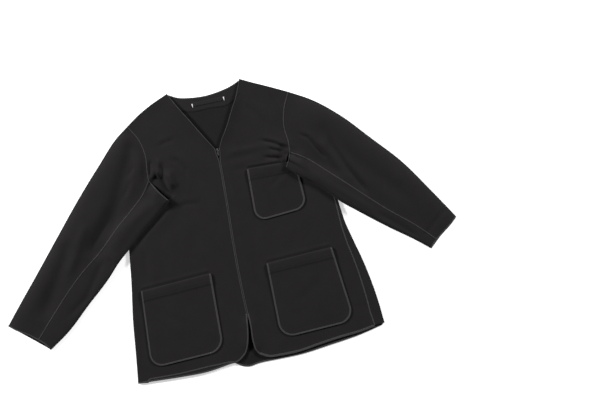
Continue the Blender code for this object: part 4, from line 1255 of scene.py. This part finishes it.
side_in = side_inset(SIDE_STATIONS + 1, True)
seam("side_left", shifted(spline(LEFT_SIDE, SIDE_STATIONS), side_in), SIDE_BAND, tree=BODY_ONLY)
seam("back_neck", shifted(back["neck"], -BACK_INSET), ZIP_BAND)
seam("back_hem", shifted(back["hem"], BACK_INSET), HEM_BANDS["right"])
for pocket_name, pocket_edge in pocket_outlines.items():
    seam(pocket_name, shifted(pocket_edge, POCKET_INSET), POCKET_BAND_WIDTH, tree=BODY_ONLY)
for side_name, edges in sleeve_edges.items():
    for part, run in edges.items():
        seam(f"{part}_{side_name}", run, HIDDEN_BAND, above=False)
for side_name, shoulder, turned in (("right", RIGHT_SHOULDER, -1), ("left", LEFT_SHOULDER, 1)):
    line = shifted(spline(shoulder, 60), turned * (EDGE + SHOULDER_WRAP + HALF_GAP))
    seam(f"shoulder_{side_name}", line, HIDDEN_BAND, above=False)
seam("side_right", shifted(spline(RIGHT_SIDE, SIDE_STATIONS), -side_in), HIDDEN_BAND, above=False)
print("seams", len(seams), "triangles", sum(len(s.data.polygons) for s in seams) * 2)

# %% [markdown]
# Pocket turnings are held by two plain rows of stitches in thread as dark as the cloth, which
# sink into the nap. The tape in the neck is held by pale tacks, each a few strands side by side,
# leaning the same way.

# %% Dark stitch rows and pale tacks
THIN_BED = 0.05  # a plain row has no ribbon under it, only the line of the cloth


def stitch_rows(name, path, gaps):
    beds = [Bed(shifted(path, gap), 1.2, True, THIN_BED, BODY_ONLY) for gap in gaps]
    joined(name, [needle_line(bed, 0.0, 2.6, 0.16) for bed in beds])


for pocket in POCKETS:
    top_left, top_right, bottom_right, bottom_left = (np.array(corner, float) for corner in pocket[1:5])
    share = (POCKET_BAND - 2.0) / np.linalg.norm(bottom_left - top_left)
    ends = [top_left + (bottom_left - top_left) * share, top_right + (bottom_right - top_right) * share]
    ends = [towards(ends[0], ends[1], 4.0), towards(ends[1], ends[0], 4.0)]
    row = resampled(np.array(ends), np.linspace(0, 1, 40))
    stitch_rows(f"stitches_{pocket.name}", row, (0.0, 5.0))
stitch_rows("stitches_facing", shifted(facing_lower, 2.6)[6:-6], (0.0,))

TACK_HEIGHT = 9.5
TACK_LEAN = 2.0  # degrees, with the top towards the wearer's right
TACK_STRANDS = 6
TACK_THREAD = 0.3
TACKS = outline((-39.8, 342.2), (42.2, 343.7))


def make_tack(number, centre):
    lean = math.radians(TACK_LEAN)
    axis = np.array([-math.sin(lean), math.cos(lean)])
    strands = []
    for strand in range(TACK_STRANDS):
        spread = (strand / (TACK_STRANDS - 1) - 0.5) * 2
        t = np.linspace(-0.5, 0.5, 9)
        width = 0.1 + 1.0 * (t + 0.5) ** 0.8
        plan = np.array(centre)[None] + axis[None] * (t * TACK_HEIGHT)[:, None]
        plan[:, 0] += spread * width
        height = np.max(lie_on_cloth(plan[:, None])) + 0.45 * np.cos(math.pi * t)
        strands.append(tube(raised(plan, height), TACK_THREAD, 6))
    joined(f"tape_tack_{number}", strands)


for number, centre in enumerate(TACKS, 1):
    make_tack(number, centre)

BAR_HEIGHT = 12.0
BARS = (-35.0, -32.5, -28.5, 26.5, 29.0, 33.0)  # short upright rows of stitches beside the tacks


def make_bars():
    rows = []
    for x in BARS:
        y = LABEL_CENTRE.y + np.linspace(-BAR_HEIGHT / 2, BAR_HEIGHT / 2, 9) - 2.0
        bed = Bed(np.stack([np.full(len(y), x), y], axis=1), 1.0, True, THIN_BED)
        rows.append(needle_line(bed, 0.0, 2.4, 0.3))
    joined("seam_tape_bars", rows)


make_bars()
print("tacks", len(TACKS), "bars", len(BARS))

# %% [markdown]
# Finishes. Double jersey is a fine knit with a short nap, so up close it is rows of small V
# stitches under fibres, and from a step away only a faint mottle is left. Both effects serve
# several materials, so each is a node group. All of them read object coordinates: the pieces lie
# flat in the jacket's own frame, so one step in those coordinates is one step on the cloth.

# %% Node helpers
def new_group(name, inputs, outputs):
    group = bpy.data.node_groups.new(name, "ShaderNodeTree")
    for label, kind, value in inputs:
        socket = group.interface.new_socket(label, in_out="INPUT", socket_type=kind)
        if value is not None:
            socket.default_value = value
    for label, kind in outputs:
        group.interface.new_socket(label, in_out="OUTPUT", socket_type=kind)
    return group, group.nodes.new("NodeGroupInput"), group.nodes.new("NodeGroupOutput")


def feed(tree, node, inputs):
    """Give a node's inputs their values, which are sockets, numbers or colours."""
    for label, value in inputs.items():
        socket = node.inputs[label]
        if isinstance(value, bpy.types.NodeSocket):
            tree.links.new(value, socket)
        elif socket.type == "RGBA":
            socket.default_value = (*value, 1)
        else:
            socket.default_value = value


def math_node(tree, operation, *values):
    node = tree.nodes.new("ShaderNodeMath")
    node.operation = operation
    feed(tree, node, dict(enumerate(values)))
    return node.outputs[0]


def noise_node(tree, place, scale, detail=2.0, rough=0.5):
    node = tree.nodes.new("ShaderNodeTexNoise")
    feed(tree, node, {"Scale": scale, "Detail": detail, "Roughness": rough, "Vector": place})
    return node.outputs["Fac"]


def ramp_node(tree, value, low, high):
    """The value spread from 0 to 1 between two of its levels."""
    node = tree.nodes.new("ShaderNodeMapRange")
    feed(tree, node, {"From Min": low, "From Max": high, "Value": value})
    return node.outputs["Result"]


def mix_node(tree, share, dark, light):
    node = tree.nodes.new("ShaderNodeMix")
    node.data_type = "RGBA"
    feed(tree, node, {"Factor": share, "A": dark, "B": light})
    return node.outputs["Result"]


# %% Group: knit stitches
def knit_group():
    """Columns of V stitches. Height feeds a bump, and Painted groove shade is painted shade that darkens the
    colour between the columns.
    """
    group, source, result = new_group(
        "knit stitches",
        [("Place", "NodeSocketVector", None), ("Wale", "NodeSocketFloat", 1.4)],
        [("Height", "NodeSocketFloat"), ("Groove", "NodeSocketFloat")],
    )
    split = group.nodes.new("ShaderNodeSeparateXYZ")
    group.links.new(source.outputs["Place"], split.inputs[0])
    per_wale = math_node(group, "DIVIDE", 1000.0, source.outputs["Wale"])
    column = math_node(group, "MULTIPLY", split.outputs["X"], per_wale)
    within = math_node(group, "FRACT", column)
    from_middle = math_node(group, "ABSOLUTE", math_node(group, "SUBTRACT", within, 0.5))
    row = math_node(group, "MULTIPLY", split.outputs["Y"], math_node(group, "MULTIPLY", per_wale, 1.25))
    slanted = math_node(group, "ADD", row, math_node(group, "MULTIPLY", from_middle, 1.3))
    loop = math_node(group, "SINE", math_node(group, "MULTIPLY", slanted, 2 * math.pi))
    groove_depth_and_shade = math_node(group, "POWER", math_node(group, "MULTIPLY", from_middle, 2.0), 4.0)
    height = math_node(group, "SUBTRACT", math_node(group, "MULTIPLY_ADD", loop, 0.3, 0.6), groove_depth_and_shade)
    feed(group, result, {"Height": height, "Groove": groove_depth_and_shade})
    return group


# %% Group: nap
def nap_group():
    """Short fibres over the stitches. Tone drifts slowly, and Fibre is fine and even."""
    group, source, result = new_group(
        "nap",
        [("Place", "NodeSocketVector", None)],
        [("Tone", "NodeSocketFloat"), ("Fibre", "NodeSocketFloat")],
    )
    place = source.outputs["Place"]
    drift = noise_node(group, place, 26.0, 3.0, 0.55)
    flecks = noise_node(group, place, 420.0, 2.0, 0.6)
    fibre = noise_node(group, place, 1500.0, 2.0, 0.7)
    half_flecks = math_node(group, "MULTIPLY", flecks, 0.5)
    tone = math_node(group, "ADD", math_node(group, "MULTIPLY", drift, 0.5), half_flecks)
    feed(group, result, {"Tone": tone, "Fibre": fibre})
    return group


KNIT, NAP = knit_group(), nap_group()
print("groups", KNIT.name, NAP.name)

# %% [markdown]
# The cloth's colour is a very dark warm grey. The nap's drift moves it by a tenth either way, and
# the fibres stand out against a low light, which is what the sheen gives. The grain runs along
# each piece, so the sleeves turn the coordinates by their own angle.

# %% Cloth
def start_material(name):
    material = bpy.data.materials.new(name)
    material.use_nodes = True
    return material, material.node_tree, material.node_tree.nodes["Principled BSDF"]


def place_node(tree, turn):
    coordinates = tree.nodes.new("ShaderNodeTexCoord")
    mapping = tree.nodes.new("ShaderNodeMapping")
    mapping.inputs["Rotation"].default_value = (0, 0, math.radians(turn))
    tree.links.new(coordinates.outputs["Object"], mapping.inputs["Vector"])
    return mapping.outputs["Vector"]


def group_node(tree, group, place, **values):
    node = tree.nodes.new("ShaderNodeGroup")
    node.node_tree = group
    feed(tree, node, {"Place": place, **values})
    return node


def bump_node(tree, shader, height, strength, distance):
    bump = tree.nodes.new("ShaderNodeBump")
    feed(tree, bump, {"Strength": strength, "Distance": distance, "Height": height})
    feed(tree, shader, {"Normal": bump.outputs["Normal"]})


def knitted(name, dark, light, turn=0.0, wale=1.4):
    material, tree, shader = start_material(name)
    place = place_node(tree, turn)
    knit = group_node(tree, KNIT, place, Wale=wale)
    nap = group_node(tree, NAP, place)
    tone = ramp_node(tree, nap.outputs["Tone"], 0.34, 0.66)
    colour = mix_node(tree, tone, dark, light)
    # painted shade: the grooves between the knit's columns darken the colour towards half
    shade = math_node(tree, "MULTIPLY", knit.outputs["Groove"], 0.3)
    height = math_node(tree, "MULTIPLY_ADD", nap.outputs["Fibre"], 0.9, knit.outputs["Height"])
    bump_node(tree, shader, height, 0.3, 0.00016)
    feed(tree, shader, {
        "Base Color": mix_node(tree, shade, colour, [c * 0.5 for c in dark]),
        "Roughness": math_node(tree, "MULTIPLY_ADD", nap.outputs["Fibre"], 0.14, 0.84),
        "Specular IOR Level": 0.12,
        "Sheen Weight": 0.06,
        "Sheen Roughness": 0.5,
        "Sheen Tint": (0.55, 0.52, 0.55),
    })
    return material


CLOTH_DARK = (0.0106, 0.0096, 0.0100)
CLOTH_LIGHT = (0.0132, 0.0120, 0.0125)
# the inside of the back is the same cloth, made darker as painted shade where it shows in the neck and at
# the foot of the zip
INSIDE_PAINTED_SHADE_DARK = (0.0086, 0.0078, 0.0082)
INSIDE_PAINTED_SHADE_LIGHT = (0.0104, 0.0095, 0.0099)
GRAIN_RIGHT_SLEEVE = -42.0
GRAIN_LEFT_SLEEVE = 45.0
body_cloth = knitted("body cloth", CLOTH_DARK, CLOTH_LIGHT)
inside_painted_shade_cloth = knitted("inside of the cloth", INSIDE_PAINTED_SHADE_DARK, INSIDE_PAINTED_SHADE_LIGHT)
right_cloth = knitted("right sleeve cloth", CLOTH_DARK, CLOTH_LIGHT, GRAIN_RIGHT_SLEEVE)
left_cloth = knitted("left sleeve cloth", CLOTH_DARK, CLOTH_LIGHT, GRAIN_LEFT_SLEEVE)
facing_cloth = knitted("facing cloth", (0.0118, 0.0107, 0.0112), (0.0142, 0.0129, 0.0135), 90.0, 1.0)

# %% [markdown]
# Thread is plied: two strands twist round each other, and the slanting light and dark of the ply
# is what makes a seam glint. A wave along the diagonal gives it. Tape is woven, with short ribs
# across it. Both are fine effects in one material each.

# %% Thread and tape
def wave_node(tree, place, scale, direction):
    node = tree.nodes.new("ShaderNodeTexWave")
    node.bands_direction = direction
    feed(tree, node, {"Scale": scale, "Distortion": 0.8, "Vector": place})
    return node.outputs["Fac"]


def thread(name, dark, light):
    material, tree, shader = start_material(name)
    place = place_node(tree, 31.0)
    ply = wave_node(tree, place, 900.0, "DIAGONAL")
    fuzz = noise_node(tree, place, 700.0, 3.0)
    share = math_node(tree, "MULTIPLY_ADD", fuzz, 0.6, math_node(tree, "MULTIPLY", ply, 0.4))
    bump_node(tree, shader, ply, 0.35, 0.00008)
    feed(tree, shader, {
        "Base Color": mix_node(tree, share, dark, light),
        "Roughness": math_node(tree, "MULTIPLY_ADD", fuzz, 0.2, 0.62),
        "Specular IOR Level": 0.15,
    })
    return material


def tape(name, dark, light, turn):
    material, tree, shader = start_material(name)
    place = place_node(tree, turn)
    ribs = wave_node(tree, place, 420.0, "Y")
    warp = wave_node(tree, place, 260.0, "X")
    weave = math_node(tree, "MULTIPLY_ADD", ribs, 0.6, math_node(tree, "MULTIPLY", warp, 0.4))
    bump_node(tree, shader, weave, 0.4, 0.00012)
    feed(tree, shader, {
        "Base Color": mix_node(tree, weave, dark, light),
        "Roughness": math_node(tree, "MULTIPLY_ADD", weave, 0.1, 0.78),
        "Specular IOR Level": 0.15,
    })
    return material


seam_thread = thread("seam thread", (0.033, 0.0313, 0.0322), (0.055, 0.052, 0.0535))
dark_thread = thread("dark thread", (0.008, 0.007, 0.008), (0.014, 0.013, 0.014))
pale_thread = thread("pale thread", (0.55, 0.53, 0.52), (0.85, 0.83, 0.81))
hanger_tape = tape("hanger tape", (0.0112, 0.0102, 0.0108), (0.0150, 0.0137, 0.0144), 2.0)
zip_tape = tape("zip tape", (0.009, 0.009, 0.010), (0.016, 0.016, 0.017), 0.0)

# %% [markdown]
# The slider's metal has been darkened, and the finish is rubbed bright where a hand and the coil
# touch it. The coil itself is black nylon, a little glossy.

# %% Metal and coil
def darkened_metal():
    material, tree, shader = start_material("darkened metal")
    place = place_node(tree, 0.0)
    geometry = tree.nodes.new("ShaderNodeNewGeometry")
    edge = ramp_node(tree, geometry.outputs["Pointiness"], 0.5, 0.58)
    scuff = noise_node(tree, place, 900.0, 4.0, 0.65)
    worn = math_node(tree, "MULTIPLY", edge, ramp_node(tree, scuff, 0.35, 0.6))
    bump_node(tree, shader, scuff, 0.15, 0.00004)
    feed(tree, shader, {
        "Base Color": mix_node(tree, worn, (0.12, 0.12, 0.122), (0.62, 0.61, 0.6)),
        "Roughness": math_node(tree, "MULTIPLY_ADD", scuff, 0.25, 0.2),
        "Metallic": 1.0,
    })
    return material


def nylon():
    material, tree, shader = start_material("coil nylon")
    gloss = noise_node(tree, place_node(tree, 0.0), 300.0)
    feed(tree, shader, {
        "Base Color": mix_node(tree, gloss, (0.008, 0.008, 0.009), (0.014, 0.014, 0.015)),
        "Roughness": math_node(tree, "MULTIPLY_ADD", gloss, 0.2, 0.28),
    })
    return material


metal, coil_nylon = darkened_metal(), nylon()

# %% [markdown]
# Each piece now gets its finish. The table also lists the record's slot that each finish stands for.

# %% Give the pieces their finishes
FINISHES = [  # the first whose words are in a piece's name is that piece's
    ("seam_", seam_thread, "seam_thread"),
    ("stitches_", dark_thread, "facing"),
    ("tape_tack", pale_thread, "seam_thread"),
    ("_metal", metal, "zip_metal"),
    ("zip_coil", coil_nylon, "zip_tape"),
    ("zip_tape", zip_tape, "zip_tape"),
    ("label_tape", hanger_tape, "hanger_tape"),
    ("neck_facing", facing_cloth, "facing"),
    ("sleeve_right", right_cloth, "cloth"),
    ("sleeve_left", left_cloth, "cloth"),
    ("", body_cloth, "cloth"),
]
for name, piece in pieces.items():
    finish, slot = next(row[1:] for row in FINISHES if row[0] in name)
    piece.data.materials.append(finish)
# the flat back takes the darker material: painted shade for the inside of the jacket
pieces["back_cloth"].data.materials.append(inside_painted_shade_cloth)
print("pieces", len(pieces), "finishes", len(FINISHES) + 1)

# %% [markdown]
# The surface is plain and nearly white. Two soft lamps stand low on either side of the picture's
# upper edge, so that every crease has a lit side and a dark one. An even sky fills the rest.

# %% Surface and light
FLOOR_DROP = 0.0008  # the threads of the hidden seams lie below the back
FLOOR_SIZE = 8.0
floor_mesh = bpy.data.meshes.new("floor")
half_floor = FLOOR_SIZE / 2
floor_mesh.from_pydata([(-half_floor, -half_floor, 0), (half_floor, -half_floor, 0),
                        (half_floor, half_floor, 0), (-half_floor, half_floor, 0)], [], [(0, 1, 2, 3)])
floor = bpy.data.objects.new("floor", floor_mesh)
floor.location.z = -FLOOR_DROP
bpy.context.scene.collection.objects.link(floor)
paper, paper_tree, paper_shader = start_material("paper")
paper_tone = noise_node(paper_tree, place_node(paper_tree, 0.0), 3.0)
feed(paper_tree, paper_shader, {
    "Base Color": mix_node(paper_tree, paper_tone, (0.93, 0.93, 0.93), (0.95, 0.95, 0.95)),
    "Roughness": 0.9,
    "Emission Color": (1.0, 1.0, 1.0),
    "Emission Strength": 0.5,
    "Specular IOR Level": 0.1,
})
floor_mesh.materials.append(paper)


LAMP_DISTANCE = 6.0
LAMP_HEIGHT = 21.0  # degrees above the floor
LAMP_SIZE = 1.3
LAMP_AIM = Vector((0.03, 0.0, 0.0))


def add_lamp(name, turn, power):
    """A soft lamp so many degrees round from the picture's upper side."""
    round_z = math.radians(90 + CAMERA_TURN + turn)
    out = LAMP_DISTANCE * math.cos(math.radians(LAMP_HEIGHT))
    place = Vector((out * math.cos(round_z), out * math.sin(round_z),
                    LAMP_DISTANCE * math.sin(math.radians(LAMP_HEIGHT))))
    data = bpy.data.lights.new(name, "AREA")
    data.shape = "DISK"
    data.size = LAMP_SIZE
    data.energy = power
    lamp = bpy.data.objects.new(name, data)
    lamp.location = place
    lamp.rotation_euler = (LAMP_AIM - place).to_track_quat("-Z", "Y").to_euler()
    bpy.context.scene.collection.objects.link(lamp)


add_lamp("lamp_left", 68.0, 600.0)
add_lamp("lamp_right", -52.0, 450.0)
world = bpy.data.worlds.new("studio")
world.use_nodes = True
world.node_tree.nodes["Background"].inputs["Color"].default_value = (1.0, 1.0, 1.0, 1)
world.node_tree.nodes["Background"].inputs["Strength"].default_value = 0.13
bpy.context.scene.world = world
bpy.context.scene.view_settings.view_transform = "Standard"

# %% [markdown]
# A cut is a piece of cloth with the size that it was cut to, the whole way round for what is a tube:
# the piece, its width and length, its area, and what it rests on.

Cut = namedtuple("Cut", "piece width length area rests_on")
